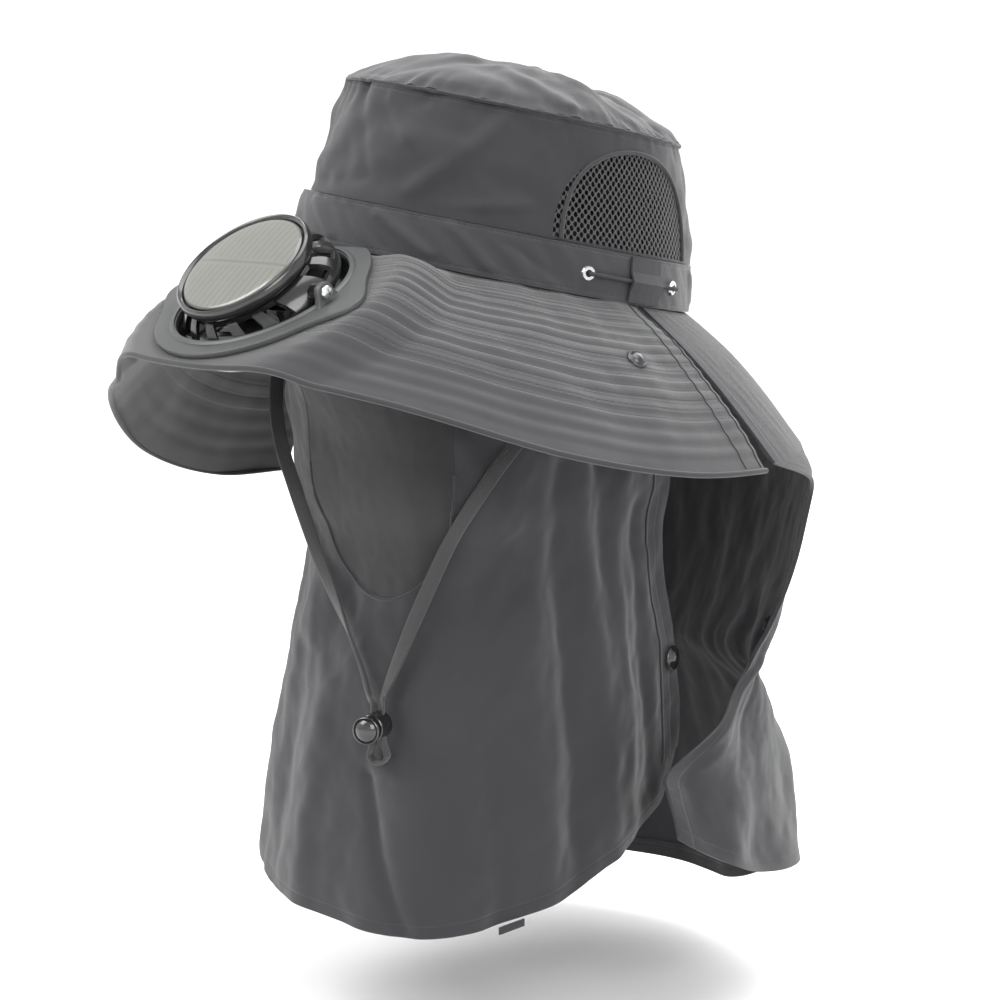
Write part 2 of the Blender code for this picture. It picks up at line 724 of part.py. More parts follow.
def mesh_window(border):
    """Prism straight through the veil's front: the breathing net's rounded outline."""
    reach = 0.09 * math.sin(math.radians(MESH_HALF_ANGLE)) - border
    bottom = MESH_BOTTOM + border
    outline = [(-reach, 0.02), (-reach, bottom + 0.060)]
    for i in range(1, 9):
        turn = math.pi * i / 9
        outline.append((-reach * math.cos(turn), bottom + 0.060 - 0.060 * math.sin(turn)))
    outline += [(reach, bottom + 0.060), (reach, 0.02)]
    place = Matrix.Rotation(math.radians(VEIL_TURN - 90), 4, "Z")
    return cutter(prism_mesh(outline, 0.03, 0.14), place)


def veil_columns():
    return [-1.0, -0.945, -0.935] + spread(-0.9, 0.9, VEIL_COLUMNS - 6) + [0.935, 0.945, 1.0]


VEIL_SHARES = (0.0, 0.07, 0.17, 0.28, 0.38, 0.48, 0.60, 0.73, 0.87, 0.965, 0.972, 1.0)


def face_veil():
    wall = hem_wall(CLOTH * 0.8, -0.94, 0.94, -1.0, 0.97)
    sheet = shell("face_veil", FABRIC, veil_columns(), VEIL_SHARES, veil_point, wall)
    return combine(sheet, mesh_window(0.0), "DIFFERENCE")


def veil_mesh():
    columns = veil_columns()[7:22]
    panel = shell("veil_mesh", NET, columns, VEIL_SHARES[:7], veil_point, CLOTH * 0.65)
    return combine(panel, mesh_window(GAP), "INTERSECT")


def placket(name, side):
    width = 0.075
    ends = sorted((side * (0.995 - width), side * 0.995))
    lifted = raised(veil_point, 0.004, 0.004, CLOTH * 0.4 + HEM_EXTRA / 2 + GAP + CLOTH * 0.45)
    return shell(name, FABRIC, spread(*ends, 2), VEIL_SHARES[2:9], lifted, CLOTH * 0.8)


def hem_tab():
    """Blank loop label under the hem at the wearer's left front."""
    place = veil_point(0.44, 1.0)
    side = (veil_point(0.47, 1.0) - veil_point(0.41, 1.0)).normalized()
    bm = block_mesh((-0.0065, -0.0005, -0.0036), (0.0065, 0.0005, -GAP))
    turn = Matrix((side, Vector((0, 0, 1)).cross(side), Vector((0, 0, 1)))).transposed().to_4x4()
    return publish("hem_tab", bm, FABRIC_LIGHT, Matrix.Translation(place + Vector((0, 0, -0.0004))) @ turn)


# Snaps

def snap(name, point, u, v, du, dv, size, wall, side=1.0, finish=GUNMETAL):
    """Domed cap seated a gap off the cloth, on its outer or, with side -1, its inner face."""
    normal = normal_of(point, u, v, du, dv) * side
    outline = [(0.0, 0.0), (size, 0.0), (size, size * 0.16), (size * 0.78, size * 0.16), (size * 0.58, size * 0.34),
               (0.0, size * 0.46)]
    place = frame_at(point(u, v) + normal * (wall / 2 + GAP), normal)
    return publish(name, lathe_mesh(outline, 12), finish, place)


def snaps():
    veil_share = 0.74
    wall = CLOTH * 0.8 + HEM_EXTRA + 2 * (GAP + CLOTH * 0.8) + 0.0004
    for name, side in (("left", 1.0), ("right", -1.0)):
        snap("brim_snap_" + name, brim_point, side * 75.0, 0.44, 1.0, 0.02, 0.0050, BRIM_THICKNESS + 0.0004)
        snap("veil_snap_" + name, veil_point, side * 0.962, veil_share, 0.004, 0.004, 0.0058, wall, finish=GLOSS)
        across = 0.018 if side > 0 else 0.982
        snap("cape_snap_" + name, cape_point, across, 5.0, 0.004, 0.05, 0.0040, CLOTH + HEM_EXTRA + 0.0004, side=-1.0)


# Brim fan

def plate_outline(angle):
    """Radius of the base plate at an angle from the wearer's left towards the crown, in degrees."""
    bump = 0.0
    for middle in (LOBE_ANGLE, 180.0 - LOBE_ANGLE):
        off = (angle - middle + 180.0) % 360.0 - 180.0
        bump += math.exp(-(off / LOBE_SPREAD) ** 2)
    radius = PLATE_RADIUS + LOBE_REACH * bump
    behind = math.sin(math.radians(angle))
    return min(radius, PLATE_BACK_LIMIT / behind) if behind > 0.5 else radius


def plate_mesh():
    count = 44
    bm = bmesh.new()
    bevel = 0.0009
    rows = []
    for radius_of, height in (
            (lambda a: PLATE_HOLE, -PLATE_THICKNESS), (lambda a: PLATE_HOLE, 0.0),
            (lambda a: plate_outline(a) - bevel, 0.0), (plate_outline, -bevel), (plate_outline, -PLATE_THICKNESS)):
        ring = []
        for i in range(count):
            angle = 360.0 * i / count
            radius = radius_of(angle)
            ring.append(bm.verts.new((radius * math.cos(math.radians(angle)),
                                      radius * math.sin(math.radians(angle)), height)))
        rows.append(ring)
    for low, high in zip(rows, rows[1:] + rows[:1]):
        for i in range(count):
            k = (i + 1) % count
            bm.faces.new((low[i], low[k], high[k], high[i]))
    return bm


HINGE = Matrix.Translation((0.0, -HINGE_FORWARD, HINGE_HEIGHT))
HEAD = PLATE @ HINGE @ Matrix.Rotation(HEAD_TILT, 4, "X")
ALONG_X = Matrix.Rotation(math.pi / 2, 4, "Y")


def ear_mesh(side):
    """Upright ear with a round top, its foot sunk in the plate."""
    half = EAR_WIDTH / 2
    foot = -PLATE_THICKNESS * 0.6
    outline = [(-HINGE_FORWARD - half * 1.5, foot), (-HINGE_FORWARD + half * 1.5, foot)]
    for i in range(9):
        turn = math.pi * i / 8
        outline.append((-HINGE_FORWARD + half * math.cos(turn), HINGE_HEIGHT + half * math.sin(turn)))
    ends = sorted((side * EAR_INNER, side * (EAR_INNER + EAR_THICKNESS)))
    return prism_mesh(outline, *ends)


def bore_mesh(radius, low, high):
    bm = lathe_mesh([(0.0, low), (radius, low), (radius, high), (0.0, high)], 16)
    bm.transform(ALONG_X)
    return bm


def fan_base():
    base = publish("fan_base", plate_mesh(), SATIN)
    for side in (-1.0, 1.0):
        combine(base, publish("cutter", ear_mesh(side), SATIN), "UNION")
    bore = bore_mesh(PIN_RADIUS + SHAFT_CLEARANCE, -0.08, 0.08)
    combine(base, cutter(bore, HINGE), "DIFFERENCE")
    base.data.transform(PLATE)
    return base


def hinge_screw(name, side):
    """Domed screw whose shank goes through the ear into the cage's boss."""
    outer = EAR_INNER + EAR_THICKNESS + GAP
    tip = BOSS_REACH - 0.0022
    outline = [(0.0, tip), (PIN_RADIUS, tip), (PIN_RADIUS, outer), (SCREW_HEAD_RADIUS, outer),
               (SCREW_HEAD_RADIUS, outer + 0.0008), (SCREW_HEAD_RADIUS * 0.6, outer + 0.0016), (0.0, outer + 0.0018)]
    bm = lathe_mesh(outline, 12)
    turn = Matrix.Rotation(side * math.pi / 2, 4, "Y")
    return publish(name, bm, STEEL, PLATE @ HINGE @ turn)


def slot_mesh(angle, half_angle, radii, twist, low, high):
    """Curved slot: a prism whose outline follows the radii while it turns by the twist."""
    left, right = [], []
    for i, radius in enumerate(radii):
        turn = angle + twist * i / (len(radii) - 1)
        left.append((radius * math.cos(turn + half_angle), radius * math.sin(turn + half_angle)))
        right.append((radius * math.cos(turn - half_angle), radius * math.sin(turn - half_angle)))
    return prism_mesh(right + left[::-1], low, high, axis="Z")


def merge(meshes):
    """One bmesh holding several separate bodies."""
    whole = bmesh.new()
    for bm in meshes:
        mesh = bpy.data.meshes.new("step")
        bm.to_mesh(mesh)
        bm.free()
        whole.from_mesh(mesh)
        bpy.data.meshes.remove(mesh)
    return whole


def fan_cage():
    """Turned bowl with curved vanes between its slots, a closed top and a boss at each side."""
    wall = CAGE_WALL
    outline = [
        (0.0, CAGE_TOP), (0.0290, CAGE_TOP), (0.0322, CAGE_TOP - 0.0018), (0.0352, CAGE_TOP - 0.0048),
        (CAGE_RADIUS - 0.0004, -0.0008), (CAGE_RADIUS, CAGE_FLOOR), (CAGE_RADIUS - wall * 1.3, CAGE_FLOOR),
        (CAGE_RADIUS - wall * 1.4, -0.0012), (0.0350 - wall, CAGE_TOP - 0.0058), (0.0315 - wall, CAGE_TOP - 0.0028),
        (0.0282, CAGE_TOP - wall), (0.0, CAGE_TOP - wall),
    ]
    cage = publish("fan_cage", lathe_mesh(outline), GLOSS)
    bosses = [prism_mesh([(BOSS_RADIUS * math.cos(2 * math.pi * i / 12), BOSS_RADIUS * math.sin(2 * math.pi * i / 12))
                          for i in range(12)], *sorted((side * (CAGE_RADIUS - 0.0014), side * BOSS_REACH)))
              for side in (-1.0, 1.0)]
    combine(cage, publish("cutter", merge(bosses), GLOSS), "UNION")
    step = 2 * math.pi / VANES
    radii = (0.0296, 0.0350, 0.0400)
    slots = []
    for i in range(VANES):
        angle = step * (i + 0.5)
        if min(abs(math.sin(angle + VANE_TWIST * 0.8)), 1.0) > math.sin(math.radians(12)):
            slots.append(slot_mesh(angle, step * 0.30, radii, VANE_TWIST, -0.0010, CAGE_TOP + 0.003))
    combine(cage, cutter(merge(slots)), "DIFFERENCE")
    combine(cage, cutter(bore_mesh(PIN_RADIUS + SHAFT_CLEARANCE, -0.08, -BOSS_REACH + 0.0034)), "DIFFERENCE")
    combine(cage, cutter(bore_mesh(PIN_RADIUS + SHAFT_CLEARANCE, BOSS_REACH - 0.0034, 0.08)), "DIFFERENCE")
    cage.matrix_world = HEAD
    return cage


def solar_housing():
    low, high = SOLAR_FOOT, SOLAR_FOOT + SOLAR_HEIGHT
    outline = [
        (0.0, low), (0.0300, low), (SOLAR_RADIUS, low + 0.0026), (SOLAR_RADIUS, high - 0.0010),
        (SOLAR_RADIUS - 0.0012, high), (CELLS_RADIUS + GAP, high - 0.0014), (CELLS_RADIUS + GAP, high - 0.0028),
        (0.0, high - 0.0028),
    ]
    return publish("solar_housing", lathe_mesh(outline), GLOSS, place=HEAD)


def solar_cells():
    seat = SOLAR_FOOT + SOLAR_HEIGHT - 0.0028 + GAP
    outline = [(0.0, seat), (CELLS_RADIUS, seat), (CELLS_RADIUS, seat + 0.0008), (0.0, seat + 0.0008)]
    return publish("solar_cells", lathe_mesh(outline, 28), CELLS, place=HEAD)


def solar_cover():
    seat = SOLAR_FOOT + SOLAR_HEIGHT - 0.0028 + GAP + 0.0008 + GAP
    outline = [(0.0, seat), (CELLS_RADIUS - 0.0002, seat), (CELLS_RADIUS - 0.0002, seat + 0.0006),
               (CELLS_RADIUS - 0.0016, seat + 0.0013), (0.0, seat + 0.0016)]
    return publish("solar_cover", lathe_mesh(outline, 28), CLEAR, place=HEAD)


def fan_motor():
    top = CAGE_TOP - CAGE_WALL - GAP
    outline = [(0.0, top), (MOTOR_RADIUS, top), (MOTOR_RADIUS, top - MOTOR_HEIGHT), (SHAFT_RADIUS, top - MOTOR_HEIGHT),
               (SHAFT_RADIUS, top - 0.0100), (0.0, top - 0.0100)]
    return publish("fan_motor", lathe_mesh(outline, 16), GLOSS, place=HEAD)


def blade_mesh(turn):
    """Pitched fan blade from inside the hub to the tip."""
    bm = bmesh.new()
    thick = 0.0005
    rows = []
    for i in range(3):
        share = i / 2
        radius = HUB_RADIUS - 0.0015 + (BLADE_REACH - HUB_RADIUS + 0.0015) * share
        chord = 0.0048 + 0.0062 * math.sin(math.pi * (0.25 + 0.5 * share))
        pitch = math.radians(38 - 22 * share)
        sweep = turn + math.radians(14) * share
        ring = []
        for along_chord, up in ((-1, -1), (0, -1), (1, -1), (1, 1), (0, 1), (-1, 1)):
            camber = 0.0008 * (1 - along_chord * along_chord)
            side = along_chord * chord * math.cos(pitch) - up * thick * math.sin(pitch)
            height = along_chord * chord * math.sin(pitch) * 0.55 + up * thick + camber
            spot = Vector((math.cos(sweep), math.sin(sweep), 0)) * radius
            spot += Vector((-math.sin(sweep), math.cos(sweep), 0)) * side
            ring.append(bm.verts.new(spot + Vector((0, 0, height - 0.0030))))
        rows.append(ring)
    for low, high in zip(rows, rows[1:]):
        for k in range(6):
            n = (k + 1) % 6
            bm.faces.new((low[k], low[n], high[n], high[k]))
    bm.faces.new(rows[0][::-1])
    bm.faces.new(rows[-1])
    bmesh.ops.recalc_face_normals(bm, faces=bm.faces)
    return bm


def fan_rotor():
    bore = SHAFT_RADIUS + SHAFT_CLEARANCE
    low, high = -0.0056, 0.0010
    hub = [(bore, low), (HUB_RADIUS - 0.0008, low), (HUB_RADIUS, low + 0.0008), (HUB_RADIUS, high), (bore, high)]
    rotor = publish("fan_rotor", lathe_mesh(hub, 18), GLOSS)
    blades = merge([blade_mesh(2 * math.pi * i / BLADES) for i in range(BLADES)])
    combine(rotor, publish("cutter", blades, GLOSS), "UNION")
    rotor.matrix_world = HEAD
    return rotor


def lower_grille():
    """Slotted bowl under the brim that guards the fan."""
    wall = 0.0012
    inner = [(0.0396, -0.0028), (0.0396, -0.0090), (0.0380, -0.0140), (0.0340, -0.0172), (0.0220, -0.0202),
             (0.0, -GRILLE_DEPTH)]
    outer = [(0.0, -GRILLE_DEPTH - wall), (0.0222, -0.0215), (0.0348, -0.0184), (0.0392, -0.0146),
             (0.0407, -0.0091), (0.0407, -0.0028)]
    bowl = publish("lower_grille", lathe_mesh(inner + outer, 22), GLOSS)
    step = 2 * math.pi / GRILLE_SLOTS
    slots = [slot_mesh(step * (i + 0.5), step * 0.28, (0.0110, 0.0220, 0.0330), VANE_TWIST, -0.03, -0.010)
             for i in range(GRILLE_SLOTS)]
    combine(bowl, cutter(merge(slots)), "DIFFERENCE")
    bowl.data.transform(PLATE)
    return bowl


# Chin strap

def lock_place():
    return Matrix.Translation(LOCK_CENTRE) @ facing(LOCK_AZIMUTH).to_track_quat("Z", "Y").to_matrix().to_4x4()


def lock_body():
    """Barrel with an upright slot for both strands and a blind bore for the button's stem."""
    half = LOCK_LENGTH / 2
    outline = [(0.0, -half), (LOCK_RADIUS * 0.8, -half), (LOCK_RADIUS, -half + 0.0015), (LOCK_RADIUS, half), (0.0, half)]
    body = publish("lock_body", lathe_mesh(outline, 18), GLOSS)
    deep, wide = LOCK_BORE
    slot = block_mesh((-wide / 2, -0.02, -deep - 0.0012), (wide / 2, 0.02, -0.0012))
    combine(body, cutter(slot), "DIFFERENCE")
    stem = lathe_mesh([(0.0, 0.0014), (0.0031, 0.0014), (0.0031, 0.02), (0.0, 0.02)], 20)
    combine(body, cutter(stem), "DIFFERENCE")
    body.data.transform(lock_place())
    return body


def lock_button():
    face = LOCK_LENGTH / 2 + BUTTON_TRAVEL + 0.0006
    outline = [(0.0, 0.0044), (0.0028, 0.0044), (0.0028, face), (BUTTON_RADIUS, face), (BUTTON_RADIUS, face + 0.0010),
               (BUTTON_RADIUS * 0.90, face + 0.0016), (BUTTON_RADIUS * 0.84, face + 0.0010),
               (BUTTON_RADIUS * 0.62, face + 0.0024), (BUTTON_RADIUS * 0.3, face + 0.0032), (0.0, face + 0.0034)]
    return publish("lock_button", lathe_mesh(outline, 16), GLOSS, place=lock_place())


def smooth(route, spacing):
    """Points at about an even spacing on the smooth curve through a route."""
    knots = [route[0] * 2 - route[1]] + route + [route[-1] * 2 - route[-2]]
    fine = []
    for a, b, c, d in zip(knots, knots[1:], knots[2:], knots[3:]):
        for i in range(12):
            t = i / 12
            fine.append(0.5 * (2 * b + (c - a) * t + (2 * a - 5 * b + 4 * c - d) * t * t
                               + (3 * b - a - 3 * c + d) * t * t * t))
    fine.append(route[-1])
    kept, walked = [fine[0]], 0.0
    for before, here in zip(fine, fine[1:]):
        walked += (here - before).length
        if walked >= spacing:
            kept.append(here)
            walked = 0.0
    kept.append(fine[-1])
    return kept


def strap_end(side):
    """Stretch of the strap sewn under the brim beside the ring, from where it leaves the cloth on the side given."""
    seam = []
    for azimuth, off in STRAP_SEAM:
        under = raised(brim_point, 1.0, 0.02, -BRIM_THICKNESS / 2 - STRAP_RADIUS - off)
        seam.append(under(side * azimuth, STRAP_SHARE))
    return seam


def strap_route():
    """Left strand, the small bight under the lock and the right strand."""
    place = lock_place()
    side = (place.to_3x3() @ Vector((1, 0, 0))).normalized()
    if side.x < 0:
        side = -side
    back = place @ Vector((0, 0, -LOCK_BORE[0] / 2 - 0.0012))
    half = 0.0022
    down = Vector((0, 0, -1))
    left = back + side * half
    right = back - side * half
    bight = [back + side * half * math.cos(turn) * 1.9 + down * (0.0135 + 0.0042 * math.sin(turn))
             for turn in (math.pi * i / 6 for i in range(7))]
    route = strap_end(1.0) + [Vector(p) for p in STRAP_LEFT]
    route += [left - down * 0.0090, left - down * 0.0040, left + down * 0.0070]
    route += bight
    route += [right + down * 0.0070, right - down * 0.0040, right - down * 0.0090]
    route += [Vector(p) for p in STRAP_RIGHT] + strap_end(-1.0)[::-1]
    return route


def chin_strap():
    return cord_curve("chin_strap", smooth(strap_route(), STRAP_RADIUS * 4.2), STRAP_RADIUS, WEBBING)


def build():
    clear_scene()
    crown_side()
    crown_top()
    vent_mesh("vent_mesh_left", 1)
    vent_mesh("vent_mesh_right", -1)
    hat_band()
    for azimuth, name in eyelet_places():
        eyelet(azimuth, name)
    drawcord()
    tunnel("cord_tunnel_left", 1)
    tunnel("cord_tunnel_right", -1)
    brim()
    brim_binding()
    neck_cape()
    face_veil()
    veil_mesh()
    placket("placket_left", 1)
    placket("placket_right", -1)
    hem_tab()
    snaps()
    fan_base()
    hinge_screw("hinge_screw_left", 1)
    hinge_screw("hinge_screw_right", -1)
    lower_grille()
    fan_cage()
    solar_housing()
    solar_cells()
    solar_cover()
    fan_motor()
    fan_rotor()
    lock_body()
    lock_button()
    chin_strap()


build()
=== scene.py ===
"""Looks of a solar fan hat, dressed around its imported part.

Metres, +Z up. The wearer looks along -Y and +X is the wearer's left. An azimuth is counted in degrees from
straight ahead towards the wearer's left. The origin is the centre of the headband opening.
"""
import logging
import math
from dataclasses import dataclass, field
from enum import Enum
from typing import Callable, Iterable, Optional, Sequence, Union

import bpy
import numpy as np
from mathutils import Matrix, Vector, noise


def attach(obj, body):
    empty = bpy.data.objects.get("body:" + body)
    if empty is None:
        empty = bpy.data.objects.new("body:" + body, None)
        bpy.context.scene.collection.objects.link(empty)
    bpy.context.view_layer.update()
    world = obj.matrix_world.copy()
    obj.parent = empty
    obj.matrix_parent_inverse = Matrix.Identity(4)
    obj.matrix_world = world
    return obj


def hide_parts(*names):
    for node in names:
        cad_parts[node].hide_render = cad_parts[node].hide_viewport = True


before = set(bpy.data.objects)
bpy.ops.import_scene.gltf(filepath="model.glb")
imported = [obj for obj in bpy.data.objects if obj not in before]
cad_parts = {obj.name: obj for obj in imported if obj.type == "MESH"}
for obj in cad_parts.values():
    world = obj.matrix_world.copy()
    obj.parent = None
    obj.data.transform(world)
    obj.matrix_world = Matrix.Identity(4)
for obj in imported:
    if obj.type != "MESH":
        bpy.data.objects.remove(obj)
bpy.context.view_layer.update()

LOG = logging.getLogger("solar_fan_hat")
Row = tuple[float, ...]
Surface = Callable[[float, float], Vector]
Relief = Callable[[float, float], float]
GAP = 0.0003
CLOTH = 0.0012


class Body(Enum):
    """The moving bodies that a piece can ride on."""

    HAT = "hat"
    FAN_HEAD = "fan_head"
    ROTOR = "rotor"
    LOCK_BUTTON = "lock_button"


# Numbers and curves

def smoothstep(low: float, high: float, value: float) -> float:
    """Ease from 0 at low to 1 at high."""
    share = min(1.0, max(0.0, (value - low) / (high - low)))
    return share * share * (3.0 - 2.0 * share)


def bell(value: float, middle: float, width: float) -> float:
    """Bell curve of height 1 about a middle."""
    return math.exp(-((value - middle) / width) ** 2)


def spread(low: float, high: float, steps: int) -> list[float]:
    """Evenly spaced values from low to high, both included."""
    return [low + (high - low) * i / steps for i in range(steps + 1)]


def along(rows: Sequence[Row], key: float, column: int) -> float:
    """Smooth value of a table's column.

    Args:
        rows: The table, its keys in the first column and rising.
        key: Where to read it.
        column: Which column to read.

    Returns:
        The value on a smooth curve through the rows.
    """
    if key <= rows[0][0]:
        return rows[0][column]
    for index in range(len(rows) - 1):
        low, high = rows[index], rows[index + 1]
        if key <= high[0]:
            before, after = rows[max(0, index - 1)], rows[min(len(rows) - 1, index + 2)]
            span = high[0] - low[0]
            share = (key - low[0]) / span
            start = span * (high[column] - before[column]) / (high[0] - before[0])
            end = span * (after[column] - low[column]) / (after[0] - low[0])
            s2, s3 = share * share, share ** 3
            return ((2 * s3 - 3 * s2 + 1) * low[column] + (s3 - 2 * s2 + share) * start
                    + (3 * s2 - 2 * s3) * high[column] + (s3 - s2) * end)
    return rows[-1][column]


def facing(azimuth: float) -> Vector:
    """Level unit vector at an azimuth."""
    angle = math.radians(azimuth)
    return Vector((math.sin(angle), -math.cos(angle), 0.0))


def oval(azimuth: float, half_width: float, half_length: float, squareness: float = 2.0) -> float:
    """Distance from the axis to a superellipse at an azimuth."""
    angle = math.radians(azimuth)
    across, ahead = abs(math.sin(angle)) / half_width, abs(math.cos(angle)) / half_length
    return (across ** squareness + ahead ** squareness) ** (-1.0 / squareness)


def ripple(x: float, y: float, seed: float, size: float) -> float:
    """Soft random height between about -1 and 1, its hills about a size across, in metres."""
    return noise.noise(Vector((x / size, y / size, seed)))


@dataclass(frozen=True)
class Fold:
    """One crease or ridge in a cloth, as a soft bank along a line between two places on it."""

    start: tuple[float, float]
    end: tuple[float, float]
    width: float
    height: float

    def at(self, u: float, v: float, scale: tuple[float, float]) -> float:
        """Height of the fold at a place.

        Args:
            u: Place along the cloth.
            v: Place across the cloth.
            scale: Metres in one unit of u and of v.

        Returns:
            Height over the plain cloth in metres.
        """
        ax, ay = (u - self.start[0]) * scale[0], (v - self.start[1]) * scale[1]
        bx, by = (self.end[0] - self.start[0]) * scale[0], (self.end[1] - self.start[1]) * scale[1]
        share = min(1.0, max(0.0, (ax * bx + ay * by) / (bx * bx + by * by)))
        distance = math.hypot(ax - bx * share, ay - by * share)
        if distance > 3.0 * self.width:
            return 0.0
        return self.height * math.exp(-(distance / self.width) ** 2)


# Shader work

class Wire:
    """A shader socket that takes part in Python expressions."""

    def __init__(self, tree: bpy.types.NodeTree, socket: bpy.types.NodeSocket) -> None:
        """Keep the tree and the socket."""
        self.tree, self.socket = tree, socket

    def _math(self, operation: str, *values: Union["Wire", float]) -> "Wire":
        """Add a Math node and return its result."""
        made = self.tree.nodes.new("ShaderNodeMath")
        made.operation = operation
        for slot, value in zip(made.inputs, values):
            if isinstance(value, Wire):
                self.tree.links.new(value.socket, slot)
            else:
                slot.default_value = value
        return Wire(self.tree, made.outputs[0])

    def __add__(self, other: Union["Wire", float]) -> "Wire":
        """Sum."""
        return self._math("ADD", self, other)

    __radd__ = __add__

    def __sub__(self, other: Union["Wire", float]) -> "Wire":
        """Difference."""
        return self._math("SUBTRACT", self, other)

    def __rsub__(self, other: float) -> "Wire":
        """Difference from a number."""
        return self._math("SUBTRACT", other, self)

    def __mul__(self, other: Union["Wire", float]) -> "Wire":
        """Product."""
        return self._math("MULTIPLY", self, other)

    __rmul__ = __mul__

    def __truediv__(self, other: Union["Wire", float]) -> "Wire":
        """Quotient."""
        return self._math("DIVIDE", self, other)

    def fract(self) -> "Wire":
        """Fraction part."""
        return self._math("FRACT", self)

    def sine(self) -> "Wire":
        """Sine of an angle in radians."""
        return self._math("SINE", self)

    def size(self) -> "Wire":
        """Absolute value."""
        return self._math("ABSOLUTE", self)

    def least(self, other: Union["Wire", float]) -> "Wire":
        """The smaller of two."""
        return self._math("MINIMUM", self, other)

    def most(self, other: Union["Wire", float]) -> "Wire":
        """The larger of two."""
        return self._math("MAXIMUM", self, other)

    def below(self, limit: Union["Wire", float]) -> "Wire":
        """1 where it is below the limit, else 0."""
        return self._math("LESS_THAN", self, limit)

    def root(self) -> "Wire":
        """Square root."""
        return self._math("SQRT", self)

    def soft_line(self, middle: float, half: float) -> "Wire":
        """1 on a line at the middle, falling to 0 at half a width from it."""
        return (1.0 - (self - middle).size() / half).most(0.0)


class Paint:
    """One material under construction."""

    def __init__(self, name: str) -> None:
        """Start a material with its Principled shader."""
        self.material = bpy.data.materials.new(name)
        self.material.use_nodes = True
        self.tree = self.material.node_tree
        self.shader = self.tree.nodes["Principled BSDF"]

    def node(self, kind: str, settings: dict, values: dict, output: Union[int, str] = 0) -> Wire:
        """Add a node.

        Args:
            kind: The node's type.
            settings: Its properties, set first.
            values: Its sockets' numbers, colours or links by name or number.
            output: The output to return.

        Returns:
            The output as a Wire.
        """
        made = self.tree.nodes.new(kind)
        for key, value in settings.items():
            setattr(made, key, value)
        for key, value in values.items():
            if isinstance(value, Wire):
                self.tree.links.new(value.socket, made.inputs[key])
            else:
                made.inputs[key].default_value = value
        return Wire(self.tree, made.outputs[output])

    def uv(self) -> tuple[Wire, Wire]:
        """The piece's own UV map, in metres along and across the cloth."""
        spot = self.node("ShaderNodeUVMap", {"uv_map": "cloth"}, {})
        return (self.node("ShaderNodeSeparateXYZ", {}, {0: spot}, "X"),
                self.node("ShaderNodeSeparateXYZ", {}, {0: spot}, "Y"))

    def place(self) -> Wire:
        """Object coordinates."""
        return self.node("ShaderNodeTexCoord", {}, {}, "Object")

    def grain(self, spot: Wire, scale: float, detail: float = 3.0) -> Wire:
        """Noise between 0 and 1."""
        return self.node("ShaderNodeTexNoise", {}, {"Vector": spot, "Scale": scale, "Detail": detail}, 0)

    def colours(self, factor: Wire, low: Row, high: Row) -> Wire:
        """Mix two colours by a factor."""
        return self.node("ShaderNodeMix", {"data_type": "RGBA", "clamp_factor": True},
                         {0: factor, 6: (*low, 1.0), 7: (*high, 1.0)}, 2)

    def feed(self, **inputs: Union[Wire, float, Row]) -> None:
        """Set or link the shader's sockets by name, with _ for a space."""
        for key, value in inputs.items():
            slot = self.shader.inputs[key.replace("_", " ")]
            if isinstance(value, Wire):
                self.tree.links.new(value.socket, slot)
            elif isinstance(value, tuple):
                slot.default_value = (*value, 1.0)
            else:
                slot.default_value = value

    def relief(self, height: Wire) -> None:
        """Bump from a height in metres."""
        self.feed(Normal=self.node("ShaderNodeBump", {}, {"Strength": 1.0, "Distance": 1.0, "Height": height}))


@dataclass(frozen=True)
class Stitching:
    """Rows of machine stitches on a cloth's UV map, in metres from its first edge.

    Rows across run at a constant distance across the cloth, rows along at a constant distance along it.
    """

    across: Row = ()
    along: Row = ()
    pitch: float = 0.0
    first: float = 0.0
    last: float = 1.0
    stitch: float = 0.0030
    half: float = 0.0007


